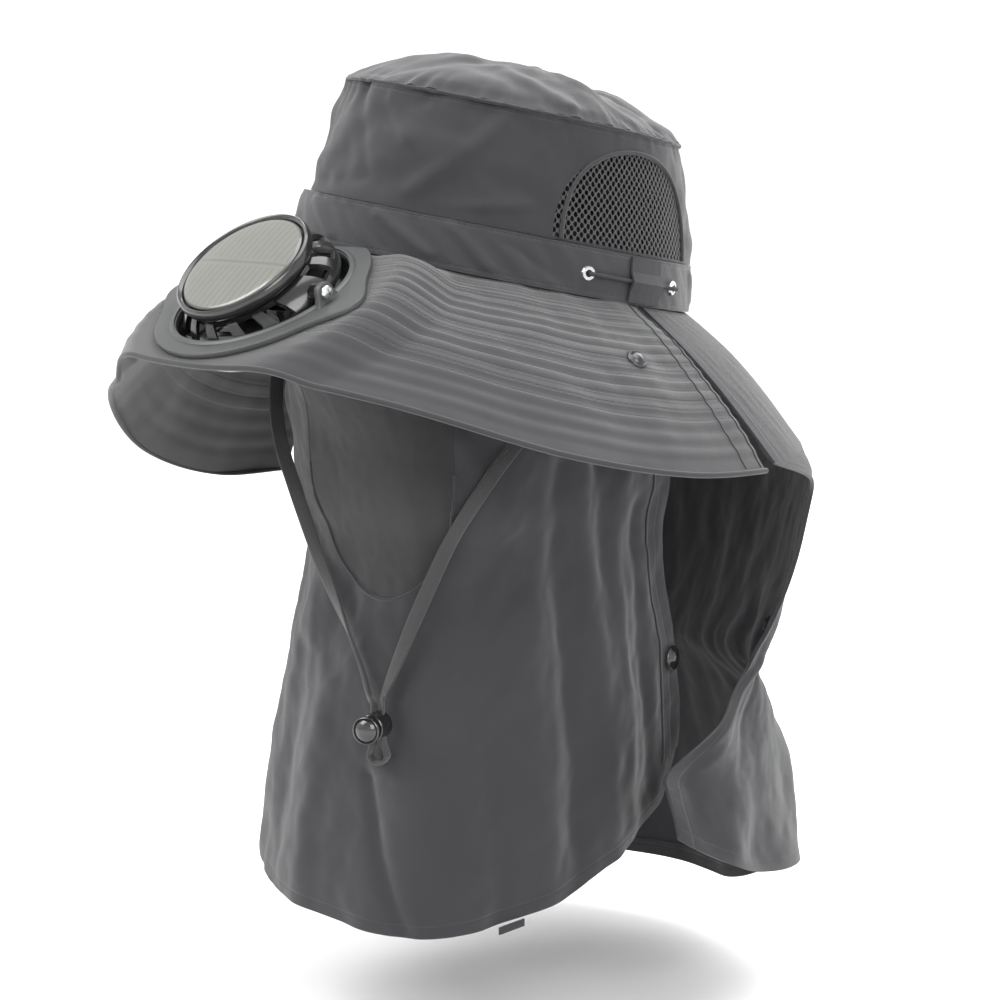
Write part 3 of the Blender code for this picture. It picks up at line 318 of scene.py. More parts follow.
@dataclass(frozen=True)
class ClothFinish:
    """Woven cloth with soft wear, and stitch rows where it has them, their grooves darkened with painted shade."""

    name: str
    colour: Row
    roughness: float = 0.80
    sheen: float = 0.25
    thread: float = 0.00045
    weave: float = 0.00003
    speckle: float = 0.30
    speckle_size: float = 0.0012
    stitching: Stitching = field(default_factory=Stitching)

    def _rows(self, x: Wire, y: Wire) -> tuple[Wire, Wire]:
        """Masks of the stitch rows' grooves, which dent the cloth and carry painted shade, and of their threads."""
        work = self.stitching
        groove_and_shade = x * 0.0
        thread = x * 0.0
        jobs = [(y, x, at) for at in work.across] + [(x, y, at) for at in work.along]
        for over, run, at in jobs:
            line = over.soft_line(at, work.half)
            groove_and_shade = groove_and_shade.most(line)
            dash = ((run / work.stitch).fract() - 0.42).size().below(0.36)
            thread = thread.most((line * 1.8 - 0.6).most(0.0).least(1.0) * dash)
        if work.pitch:
            inside = (y - work.first).size().below(1000.0) * (1.0 - y.below(work.first)) * y.below(work.last)
            line = (((y - work.first) / work.pitch).fract() * work.pitch - work.pitch / 2).soft_line(0.0, work.half)
            groove_and_shade = groove_and_shade.most(line * inside)
            dash = ((x / work.stitch).fract() - 0.42).size().below(0.36)
            thread = thread.most((line * 1.8 - 0.6).most(0.0).least(1.0) * dash * inside)
        return groove_and_shade, thread

    def make(self) -> bpy.types.Material:
        """Build the material."""
        paint = Paint(self.name)
        x, y = paint.uv()
        spot = paint.place()
        turn = 2 * math.pi / self.thread
        yarn = (x * turn).sine() * (y * turn).sine()
        fluff = paint.grain(spot, 1.0 / self.speckle_size)
        cloudy = paint.grain(spot, 28.0)
        tone = (fluff - 0.5) * self.speckle + (cloudy - 0.5) * 0.35 + 0.5
        groove_and_shade, thread = self._rows(x, y)
        # painted shade: the stitch grooves are darkened in the colour as well as dented in the relief
        tone = tone - groove_and_shade * 0.28 + thread * 0.55
        dark = tuple(c * 0.62 for c in self.colour)
        light = tuple(c * 1.55 for c in self.colour)
        paint.feed(Base_Color=paint.colours(tone, dark, light), Sheen_Weight=self.sheen, Sheen_Roughness=0.45,
                   Specular_IOR_Level=0.32,
                   Roughness=(self.roughness + (fluff - 0.5) * 0.14 - thread * 0.12).least(1.0))
        soft = paint.grain(spot, 170.0, 2.0)
        paint.relief(yarn * self.weave + fluff * 0.00005 + soft * 0.00010 - groove_and_shade * 0.00032 + thread * 0.00022)
        return paint.material


@dataclass(frozen=True)
class NetFinish:
    """Knitted net with open holes in a staggered pattern."""

    name: str
    colour: Row
    hole: float
    cell: float
    tall: float = 1.0

    def make(self) -> bpy.types.Material:
        """Build the material."""
        paint = Paint(self.name)
        x, y = paint.uv()
        column = x / self.cell
        row = y / (self.cell * self.tall)
        masks = []
        for shift in (0.0, 0.5):
            across = (column + shift).fract() - 0.5
            down = (row + shift).fract() - 0.5
            masks.append((across * across + down * down).root().below(self.hole))
        opening = masks[0].most(masks[1])
        strand = (column * 2 * math.pi * 4).sine() * (row * 2 * math.pi * 3).sine()
        paint.feed(Base_Color=paint.colours(strand * 0.5 + 0.5, tuple(c * 0.7 for c in self.colour),
                                            tuple(c * 1.5 for c in self.colour)),
                   Roughness=0.72, Sheen_Weight=0.2, Specular_IOR_Level=0.4, Alpha=1.0 - opening)
        paint.relief(strand * 0.00004)
        return paint.material


@dataclass(frozen=True)
class WebbingFinish:
    """Flat woven tape: a rib of fine chevrons along it."""

    name: str
    colour: Row
    rib: float = 0.00085

    def make(self) -> bpy.types.Material:
        """Build the material."""
        paint = Paint(self.name)
        x, y = paint.uv()
        slant = (x / self.rib + y.size() / self.rib * 0.9).fract()
        rib = (slant - 0.5).size() * 2.0
        fine = (y * (2 * math.pi / 0.0007)).sine()
        fluff = paint.grain(paint.place(), 900.0)
        paint.feed(Base_Color=paint.colours(rib * 0.7 + fluff * 0.3, tuple(c * 0.6 for c in self.colour),
                                            tuple(c * 2.2 for c in self.colour)),
                   Roughness=0.62, Sheen_Weight=0.25, Specular_IOR_Level=0.45)
        paint.relief(rib * 0.00014 + fine * 0.00003 + fluff * 0.00003)
        return paint.material


@dataclass(frozen=True)
class PlasticFinish:
    """Moulded plastic with a faint skin and hand marks."""

    name: str
    colour: Row
    roughness: float
    coat: float = 0.0
    texture: float = 0.000006
    grain_size: float = 0.0006

    def make(self) -> bpy.types.Material:
        """Build the material."""
        paint = Paint(self.name)
        spot = paint.place()
        smudge = paint.grain(spot, 60.0, 4.0)
        skin = paint.grain(spot, 1.0 / self.grain_size, 2.0)
        paint.feed(Base_Color=paint.colours(smudge, tuple(c * 0.85 for c in self.colour),
                                            tuple(c * 1.25 for c in self.colour)),
                   Roughness=(self.roughness + (smudge - 0.5) * 0.16).most(0.05), Coat_Weight=self.coat,
                   Coat_Roughness=0.08)
        paint.relief(skin * self.texture + smudge * 0.00004)
        return paint.material


@dataclass(frozen=True)
class MetalFinish:
    """Stamped metal with fine handling marks."""

    name: str
    colour: Row
    roughness: float

    def make(self) -> bpy.types.Material:
        """Build the material."""
        paint = Paint(self.name)
        spot = paint.place()
        wear = paint.grain(spot, 420.0, 4.0)
        paint.feed(Base_Color=paint.colours(wear, tuple(c * 0.8 for c in self.colour), self.colour), Metallic=1.0,
                   Roughness=self.roughness + (wear - 0.5) * 0.18)
        paint.relief(wear * 0.00001)
        return paint.material


@dataclass(frozen=True)
class SolarFinish:
    """Cells under cast resin: two rows of fingers, split by a bus line, in the disc's own plane."""

    name: str
    colour: Row
    line: Row
    finger: float
    radius: float

    def make(self) -> bpy.types.Material:
        """Build the material."""
        paint = Paint(self.name)
        x, y = paint.uv()
        reach = (x * x + y * y).root()
        inside = reach.below(self.radius)
        finger = ((x / self.finger).fract() - 0.5).soft_line(0.0, 0.14)
        clear = (y.size() - 0.0022).most(0.0) * 4000.0
        bus = y.soft_line(0.0, 0.0011)
        lines = (finger * clear.least(1.0)).most(bus * 0.85) * inside
        glint = paint.grain(paint.place(), 300.0)
        mottle = paint.grain(paint.place(), 55.0)
        base = paint.colours(mottle, tuple(c * 0.82 for c in self.colour), tuple(c * 1.15 for c in self.colour))
        mixed = paint.node("ShaderNodeMix", {"data_type": "RGBA", "clamp_factor": True},
                           {0: lines * 0.75, 6: base, 7: (*self.line, 1.0)}, 2)
        rimmed = paint.node("ShaderNodeMix", {"data_type": "RGBA", "clamp_factor": True},
                            {0: inside, 6: (0.02, 0.02, 0.018, 1.0), 7: mixed}, 2)
        paint.feed(Base_Color=rimmed, Roughness=0.42 + (glint - 0.5) * 0.1, Coat_Weight=1.0, Coat_Roughness=0.12,
                   Coat_IOR=1.5)
        paint.relief(lines * 0.00004 + glint * 0.00001)
        return paint.material


@dataclass(frozen=True)
class FloorFinish:
    """Plain pale paper sweep."""

    name: str
    colour: Row

    def make(self) -> bpy.types.Material:
        """Build the material."""
        paint = Paint(self.name)
        paper = paint.grain(paint.place(), 40.0)
        paint.feed(Base_Color=paint.colours(paper, self.colour, tuple(min(1.0, c * 1.01) for c in self.colour)),
                   Roughness=0.9)
        return paint.material


# Mesh work

def deselect() -> None:
    """Leave nothing selected."""
    if bpy.context.object and bpy.context.object.mode != "OBJECT":
        bpy.ops.object.mode_set(mode="OBJECT")
    bpy.ops.object.select_all(action="DESELECT")


def take(piece: bpy.types.Object) -> None:
    """Make a piece the only selected and the active one."""
    deselect()
    piece.select_set(True)
    bpy.context.view_layer.objects.active = piece


def apply_modifier(piece: bpy.types.Object, kind: str, **settings: object) -> None:
    """Add a modifier to a piece, set it and apply it."""
    take(piece)
    step = piece.modifiers.new("step", kind)
    for key, value in settings.items():
        setattr(step, key, value)
    bpy.ops.object.modifier_apply(modifier=step.name)


def finish_piece(piece: bpy.types.Object, name: str, material: bpy.types.Material, body: Body,
                 nodes: Iterable[str] = (), angle: float = 50.0) -> bpy.types.Object:
    """Name, smooth and paint a finished mesh, and let it ride on its body.

    Args:
        piece: The mesh, its place in its vertices.
        name: Its plain name.
        material: Its only material.
        body: What it rides on.
        nodes: The frame's nodes that it stands for, which it hides.
        angle: Edges sharper than this stay crisp, in degrees.

    Returns:
        The piece.
    """
    take(piece)
    bpy.ops.object.transform_apply(location=True, rotation=True, scale=True)
    bpy.ops.object.shade_smooth_by_angle(angle=math.radians(angle))
    piece.name = name
    piece.data.name = name
    piece.data.materials.clear()
    piece.data.materials.append(material)
    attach(piece, body.value)
    nodes = list(nodes)
    if nodes:
        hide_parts(*nodes)
    LOG.info("%s: %d faces on %s", name, len(piece.data.polygons), body.value)
    return piece


class Loom:
    """Makes cloth from a surface, a grid laid on it and a wall."""

    @staticmethod
    def weave(us: Sequence[float], vs: Sequence[float], surface: Surface, relief: Optional[Relief] = None,
              wall: float = CLOTH, closed: bool = False) -> bpy.types.Object:
        """Lay a grid on a surface, raise its relief and thicken it about its middle.

        Args:
            us: Places along the cloth, which run to the right seen from outside.
            vs: Places across the cloth, from its first edge.
            surface: The cloth's middle.
            relief: Height over it, outwards.
            wall: Thickness of the cloth, or 0 for a bare sheet.
            closed: Whether the last place along joins the first.

        Returns:
            The mesh, with a UV map in metres.
        """
        deselect()
        wide, tall = len(us), len(vs)
        bpy.ops.mesh.primitive_grid_add(x_subdivisions=wide - 1, y_subdivisions=tall - 1, size=1.0)
        piece = bpy.context.object
        grid = np.array([[surface(u, v) for u in us] for v in vs])
        side = np.gradient(grid, axis=1)
        if closed:
            side[:, 0] = side[:, -1] = grid[:, 1] - grid[:, -2]
        normal = np.cross(np.gradient(grid, axis=0), side)
        normal /= np.maximum(np.linalg.norm(normal, axis=2, keepdims=True), 1e-12)
        if relief:
            heights = np.array([[relief(u, v) for u in us] for v in vs])
            grid = grid + normal * heights[..., None]
        piece.data.vertices.foreach_set("co", grid.reshape(-1))
        along_u = np.linalg.norm(np.diff(grid, axis=1), axis=2).mean(axis=0)
        along_v = np.linalg.norm(np.diff(grid, axis=0), axis=2).mean(axis=1)
        xs = np.concatenate(([0.0], np.cumsum(along_u)))
        ys = np.concatenate(([0.0], np.cumsum(along_v)))
        piece["span"] = [float(xs[-1]), float(ys[-1])]
        layer = piece.data.uv_layers[0]
        layer.name = "cloth"
        corners = np.empty(len(piece.data.loops), dtype=np.int32)
        piece.data.loops.foreach_get("vertex_index", corners)
        spots = np.stack([xs[corners % wide], ys[corners // wide]], axis=1)
        layer.data.foreach_set("uv", spots.reshape(-1).astype(np.float32))
        take(piece)
        bpy.ops.object.mode_set(mode="EDIT")
        bpy.ops.mesh.select_all(action="SELECT")
        bpy.ops.mesh.remove_doubles(threshold=0.00002)
        bpy.ops.mesh.flip_normals()
        bpy.ops.object.mode_set(mode="OBJECT")
        if wall:
            apply_modifier(piece, "SOLIDIFY", thickness=wall, offset=0.0, use_even_offset=False)
        return piece


class Lathe:
    """Turns round pieces from a ring that is extruded and scaled along a profile."""

    @staticmethod
    def turn(profile: Sequence[tuple[float, float]], segments: int, place: Matrix,
             closed: bool = True) -> bpy.types.Object:
        """Turn a profile about Z.

        Args:
            profile: Radius and height of each ring in order; radius 0 ends in a point.
            segments: Sides of a ring.
            place: Where the turned piece goes.
            closed: Whether the last ring joins the first, as in a hollow ring.

        Returns:
            The mesh with its UV map in the plane of its rings, in metres.
        """
        deselect()
        rows = [(max(radius, 0.00001), height) for radius, height in profile]
        bpy.ops.mesh.primitive_circle_add(vertices=segments, radius=rows[0][0], location=(0, 0, rows[0][1]))
        piece = bpy.context.object
        bpy.ops.object.transform_apply(location=True)
        bpy.ops.object.mode_set(mode="EDIT")
        bpy.ops.mesh.select_all(action="SELECT")
        path = rows + ([rows[0]] if closed else [])
        for (radius, height), (wider, higher) in zip(path, path[1:]):
            bpy.ops.mesh.extrude_edges_move(TRANSFORM_OT_translate={"value": (0, 0, higher - height)})
            bpy.ops.transform.resize(value=(wider / radius, wider / radius, 1.0), center_override=(0, 0, higher))
        bpy.ops.mesh.select_all(action="SELECT")
        bpy.ops.mesh.remove_doubles(threshold=0.00003)
        bpy.ops.mesh.normals_make_consistent(inside=False)
        bpy.ops.object.mode_set(mode="OBJECT")
        Lathe.flat_map(piece)
        piece.data.transform(place)
        return piece

    @staticmethod
    def flat_map(piece: bpy.types.Object) -> None:
        """Give a mesh a UV map of its own X and Y in metres."""
        for old in list(piece.data.uv_layers):
            piece.data.uv_layers.remove(old)
        layer = piece.data.uv_layers.new(name="cloth")
        for corner, spot in zip(piece.data.loops, layer.data):
            spot.uv = piece.data.vertices[corner.vertex_index].co.xy


def tube(points: Sequence[Vector], radius: float, sides: int = 3) -> bpy.types.Object:
    """Round tube with closed ends along a list of points."""
    data = bpy.data.curves.new("tube", "CURVE")
    data.dimensions = "3D"
    data.bevel_depth = radius
    data.bevel_resolution = sides
    data.use_fill_caps = True
    spline = data.splines.new("POLY")
    spline.points.add(len(points) - 1)
    for knot, spot in zip(spline.points, points):
        knot.co = (*spot, 1.0)
    piece = bpy.data.objects.new("tube", data)
    bpy.context.scene.collection.objects.link(piece)
    take(piece)
    bpy.ops.object.convert(target="MESH")
    return bpy.context.object


def prism(outline: Sequence[tuple[float, float]], low: float, high: float, place: Matrix) -> bpy.types.Object:
    """Straight prism of an outline of (x, y) between two heights."""
    deselect()
    bpy.ops.mesh.primitive_circle_add(vertices=len(outline), radius=1.0, fill_type="NGON")
    piece = bpy.context.object
    for vert, (x, y) in zip(piece.data.vertices, outline):
        vert.co = (x, y, low)
    bpy.ops.object.mode_set(mode="EDIT")
    bpy.ops.mesh.select_all(action="SELECT")
    bpy.ops.mesh.extrude_region_move(TRANSFORM_OT_translate={"value": (0, 0, high - low)})
    bpy.ops.mesh.select_all(action="SELECT")
    bpy.ops.mesh.normals_make_consistent(inside=False)
    bpy.ops.object.mode_set(mode="OBJECT")
    piece.data.transform(place)
    return piece


def join(pieces: Sequence[bpy.types.Object]) -> bpy.types.Object:
    """Join several meshes into the first."""
    deselect()
    for piece in pieces:
        piece.select_set(True)
    bpy.context.view_layer.objects.active = pieces[0]
    bpy.ops.object.join()
    return pieces[0]


def carve(piece: bpy.types.Object, tool: bpy.types.Object, operation: str = "DIFFERENCE") -> None:
    """Cut a piece with a tool, or join or keep the common part, and drop the tool."""
    apply_modifier(piece, "BOOLEAN", object=tool, operation=operation, solver="EXACT")
    bpy.data.objects.remove(tool, do_unlink=True)


def frame_at(spot: Vector, normal: Vector) -> Matrix:
    """Place at a spot with Z along a normal."""
    return Matrix.Translation(spot) @ normal.to_track_quat("Z", "Y").to_matrix().to_4x4()


def normal_of(surface: Surface, u: float, v: float, du: float, dv: float) -> Vector:
    """Outward unit normal of a surface whose u runs right and v down, seen from outside."""
    side = surface(u + du, v) - surface(u - du, v)
    down = surface(u, v + dv) - surface(u, v - dv)
    return -side.cross(down).normalized()


# The hat's parts

@dataclass
class Head:
    """The headband opening and how the hat is tilted on it."""

    half_width: float = 0.0875
    half_length: float = 0.1005
    tilt_back: float = 9.5
    tilt_side: float = 6.5
    cloth_drop: float = CLOTH

    @property
    def hat(self) -> Matrix:
        """From the hat's own level frame to the row frame."""
        return (Matrix.Rotation(math.radians(self.tilt_side), 4, "Y")
                @ Matrix.Rotation(-math.radians(self.tilt_back), 4, "X"))

    def radius(self, azimuth: float) -> float:
        """Inner radius of the opening."""
        return oval(azimuth, self.half_width, self.half_length)

    def ring(self, azimuth: float) -> Vector:
        """Point of the ring where brim and cape start."""
        return self.hat @ (facing(azimuth) * self.radius(azimuth) + Vector((0, 0, -self.cloth_drop)))


@dataclass
class Crown:
    """Side wall with two net vents, gathered top and the wrinkled band with its eyelets."""

    head: Head
    band_height: float = 0.0215
    band_wall: float = 0.0016
    height: float = 0.0745
    taper: float = 0.165
    rise: float = 0.0195
    lean: float = 0.0050
    dome_power: float = 2.9
    vent_middle: float = 0.001
    vent_half: float = 0.046
    vent_height: float = 0.0430
    columns: int = 288
    side_folds: tuple[Fold, ...] = (
        Fold((18, 0.030), (40, 0.068), 0.0042, 0.0016), Fold((-12, 0.074), (2, 0.034), 0.0045, -0.0015),
        Fold((-38, 0.070), (-26, 0.036), 0.0040, 0.0014), Fold((150, 0.068), (172, 0.036), 0.0048, 0.0017),
        Fold((128, 0.040), (142, 0.070), 0.0040, -0.0012), Fold((-150, 0.070), (-168, 0.036), 0.0046, 0.0016),
        Fold((-128, 0.036), (-138, 0.070), 0.0038, -0.0012), Fold((4, 0.068), (14, 0.052), 0.0035, 0.0013),
        Fold((-24, 0.040), (-10, 0.030), 0.0032, 0.0011), Fold((28, 0.026), (50, 0.034), 0.0030, 0.0012),
    )
    top_folds: tuple[Fold, ...] = (
        Fold((30, 0.55), (62, 0.93), 0.0050, 0.0018), Fold((-10, 0.92), (14, 0.55), 0.0055, -0.0018),
        Fold((70, 0.50), (96, 0.92), 0.0050, 0.0014), Fold((-60, 0.90), (-36, 0.45), 0.0050, 0.0017),
        Fold((-100, 0.92), (-84, 0.50), 0.0060, -0.0014), Fold((150, 0.50), (170, 0.92), 0.0055, 0.0017),
        Fold((-150, 0.90), (-132, 0.42), 0.0055, 0.0014), Fold((110, 0.90), (126, 0.50), 0.0045, -0.0014),
        Fold((8, 0.20), (48, 0.46), 0.0060, 0.0014), Fold((-160, 0.2), (-100, 0.38), 0.0060, 0.0012),
    )
    band_folds: tuple[Fold, ...] = (
        Fold((-34, 0.019), (-24, 0.003), 0.0022, 0.0011), Fold((-16, 0.018), (-3, 0.004), 0.0024, 0.0013),
        Fold((2, 0.019), (14, 0.003), 0.0022, -0.0010), Fold((10, 0.018), (26, 0.005), 0.0025, 0.0014),
        Fold((30, 0.019), (42, 0.004), 0.0022, 0.0012), Fold((46, 0.016), (60, 0.006), 0.0022, -0.0009),
        Fold((-58, 0.017), (-46, 0.005), 0.0022, 0.0011), Fold((128, 0.018), (142, 0.004), 0.0026, 0.0012),
        Fold((150, 0.018), (166, 0.004), 0.0024, -0.0010), Fold((-174, 0.018), (-160, 0.003), 0.0026, 0.0013),
        Fold((-148, 0.018), (-132, 0.005), 0.0024, 0.0012), Fold((-84, 0.017), (-70, 0.006), 0.0020, 0.0008),
    )

    def lean_at(self, height: float) -> Vector:
        """Forward shift of a section over the band."""
        share = max(0.0, height - self.band_height) / (self.height - self.band_height)
        return Vector((0.0, -self.lean * share, 0.0))

    def radius(self, azimuth: float, height: float) -> float:
        """Level radius of the side wall."""
        return self.head.radius(azimuth) * (1.0 - self.taper * max(0.0, height / self.height) ** 1.15)

    def side_point(self, azimuth: float, height: float) -> Vector:
        """Middle of the side wall, in the hat's frame."""
        sag = 0.0016 * math.sin(math.radians(3 * azimuth + 40)) * math.sin(math.pi * height / self.height)
        return facing(azimuth) * (self.radius(azimuth, height) + sag) + self.lean_at(height) + Vector((0, 0, height))

    def top_point(self, azimuth: float, share: float) -> Vector:
        """Middle of the top, from its centre, 0, to its seam, 1."""
        rim = self.radius(azimuth, self.height) + 0.0002
        rise = self.rise * (1.0 - share ** self.dome_power)
        wave = 0.0048 * math.sin(math.radians(2 * azimuth + 60)) * share * (1 - share)
        height = self.height + GAP + CLOTH / 2 + rise + wave
        return facing(azimuth) * rim * share + self.lean_at(self.height) + Vector((0, 0, height))

    def band_point(self, azimuth: float, height: float) -> Vector:
        """Middle of the band."""
        middle = self.head.radius(azimuth) + self.band_wall / 2
        return facing(azimuth) * (middle - height * 0.14) + Vector((0, 0, height))

    def vent_outline(self, border: float) -> list[tuple[float, float]]:
        """Arch of a vent as (y, z), drawn in by a border."""
        half, floor = self.vent_half - border, self.band_height + border + 0.0016
        return [(self.vent_middle + half * math.cos(math.pi * i / 32),
                 floor + (self.vent_height - 2 * border) * math.sin(math.pi * i / 32) ** 0.85) for i in range(33)]

    def side_relief(self, azimuth: float, height: float) -> float:
        """Folds of the side wall: gathers under the top seam and soft dents."""
        turn = (azimuth + 180.0) % 360.0 - 180.0
        scale = (self.head.half_width * math.pi / 180, 1.0)
        folds = sum(fold.at(turn, height, scale) for fold in self.side_folds)
        quiet = bell(abs(turn), 90.0, 34.0)
        x = math.radians(turn) * self.head.half_width
        gather = ripple(x, height * 0.3, 3.0, 0.0048) * 0.0011 * smoothstep(self.height - 0.016, self.height, height)
        soft = ripple(x, height, 7.0, 0.021) * 0.0024 + ripple(x, height, 9.0, 0.009) * 0.0007
        ends = smoothstep(0.0, 0.010, height - self.band_height)
        return (folds + soft) * (1.0 - 0.85 * quiet) * ends + gather * (1.0 - 0.7 * quiet)

    def top_relief(self, azimuth: float, share: float) -> float:
        """Folds of the top: puckers along its seam and soft hollows."""
        turn = (azimuth + 180.0) % 360.0 - 180.0
        radius = self.head.half_width * 0.85
        folds = sum(fold.at(turn, share, (radius * math.pi / 180 * 0.7, radius)) for fold in self.top_folds)
        x, y = math.sin(math.radians(turn)) * share * radius, math.cos(math.radians(turn)) * share * radius
        round_way = math.radians(turn) * radius
        pucker = ripple(round_way, share * 0.01, 5.0, 0.0045) * 0.0013 * smoothstep(0.80, 0.985, share)
        ends = smoothstep(0.0, 0.08, 1.0 - share)
        return (folds + ripple(x, y, 2.0, 0.026) * 0.0030 + ripple(x, y, 4.0, 0.010) * 0.0008) * (0.2 + 0.8 * ends) + pucker

    def band_relief(self, azimuth: float, height: float) -> float:
        """Diagonal wrinkles of the band and its gathers at both seams."""
        turn = (azimuth + 180.0) % 360.0 - 180.0
        scale = (self.head.half_width * math.pi / 180, 1.0)
        folds = sum(fold.at(turn, height, scale) for fold in self.band_folds)
        x = math.radians(turn) * self.head.half_width
        edge = 1.0 - smoothstep(0.0, 0.005, min(height, self.band_height - height))
        quiet = bell(abs(turn), 91.0, 26.0)
        slant = ripple(x + height * 0.8, height * 0.35, 6.0, 0.0080) * 0.0011
        return ((folds + slant) * (1.0 - edge * 0.6) + ripple(x, 0.0, 8.0, 0.004) * 0.0005 * edge) * (1.0 - 0.9 * quiet)

    def to_row(self, surface: Surface) -> Surface:
        """The surface in the row frame."""
        hat = self.head.hat
        return lambda u, v: hat @ surface(u, v)

    def build(self) -> dict[str, bpy.types.Object]:
        """Build and dress the crown.

        Returns:
            Its soft pieces by name.
        """
        cloth = ClothFinish("crown_cloth", (0.0175, 0.0175, 0.0200),
                            stitching=Stitching(across=(0.0024,), stitch=0.0026)).make()
        top_cloth = ClothFinish("crown_top_cloth", (0.0175, 0.0175, 0.0200)).make()
        band_cloth = ClothFinish("band_cloth", (0.0200, 0.0200, 0.0225), roughness=0.74, sheen=0.3,
                                 stitching=Stitching(across=(0.0016, self.band_height - 0.0016))).make()
        turn = spread(180.0, 540.0, self.columns)
        levels = spread(self.height, self.band_height + GAP, 46)
        made = {}
        side = Loom.weave(turn, levels, self.side_point, self.side_relief, CLOTH * 0.9, closed=True)
        along_y = Matrix(((0, 0, 1, 0), (1, 0, 0, 0), (0, 1, 0, 0), (0, 0, 0, 1)))
        carve(side, prism(self.vent_outline(0.0), -0.12, 0.12, along_y))
        side.data.transform(self.head.hat)
        made["side"] = finish_piece(side, "crown_side_cloth", cloth, Body.HAT, ["crown_side"], 40)
        shares = [0.0] + spread(0.04, 0.90, 34) + spread(0.915, 1.0, 9)
        top = Loom.weave(turn, shares, self.to_row(self.top_point), self.top_relief, CLOTH * 0.9, closed=True)
        made["top"] = finish_piece(top, "crown_top_cloth", top_cloth, Body.HAT, ["crown_top"], 60)
        heights = spread(self.band_height, 0.0, 34)
        band = Loom.weave(spread(180.0, 540.0, 360), heights, self.to_row(self.band_point), self.band_relief,
                          self.band_wall * 0.8, closed=True)
        made["band"] = finish_piece(band, "band_cloth", band_cloth, Body.HAT, ["hat_band"], 60)
        made.update(self.vents())
        self.seams(top_cloth)
        return made

    def vents(self) -> dict[str, bpy.types.Object]:
        """Net panels and the bound arch round each."""
        net = NetFinish("vent_net", (0.030, 0.030, 0.031), hole=0.30, cell=0.0034, tall=1.25).make()
        binding = ClothFinish("vent_binding_cloth", (0.022, 0.022, 0.024), speckle=0.2).make()
        made = {}
        along_y = Matrix(((0, 0, 1, 0), (1, 0, 0, 0), (0, 1, 0, 0), (0, 0, 0, 1)))
        for name, side in (("left", 1), ("right", -1)):
            azimuths = spread(side * 90 - 38, side * 90 + 38, 72)
            levels = spread(self.height - 0.003, self.band_height + 0.0006, 40)
            panel = Loom.weave(azimuths, levels, self.side_point, None, 0.0004)
            carve(panel, prism(self.vent_outline(-0.0005), -0.12, 0.12, along_y), "INTERSECT")
            panel.data.transform(self.head.hat)
            made["net_" + name] = finish_piece(panel, "vent_net_" + name, net, Body.HAT, ["vent_mesh_" + name])
            path = []
            for y, z in self.vent_outline(-0.0004):
                azimuth = side * (90.0 + math.degrees(math.atan2(y - self.lean_at(z).y, self.radius(90.0, z))))
                spot = self.side_point(azimuth, z) + facing(azimuth) * (CLOTH / 2 + 0.0002)
                path.append(self.head.hat @ spot)
            finish_piece(tube(path, 0.0010), "vent_binding_" + name, binding, Body.HAT)
        return made

    def seams(self, cloth: bpy.types.Material) -> None:
        """Welt where the top meets the side, gathered with the cloth."""
        path = []
        for azimuth in spread(0.0, 360.0, 240):
            wave = ripple(math.radians(azimuth) * self.head.half_width, 0.0, 5.0, 0.0045) * 0.0007
            rim = self.radius(azimuth, self.height) + CLOTH / 2 + wave
            height = self.height + CLOTH * 0.35 + wave * 0.5
            path.append(self.head.hat @ (facing(azimuth) * rim + self.lean_at(self.height) + Vector((0, 0, height))))
        finish_piece(tube(path, 0.0008), "crown_seam_welt", cloth, Body.HAT)


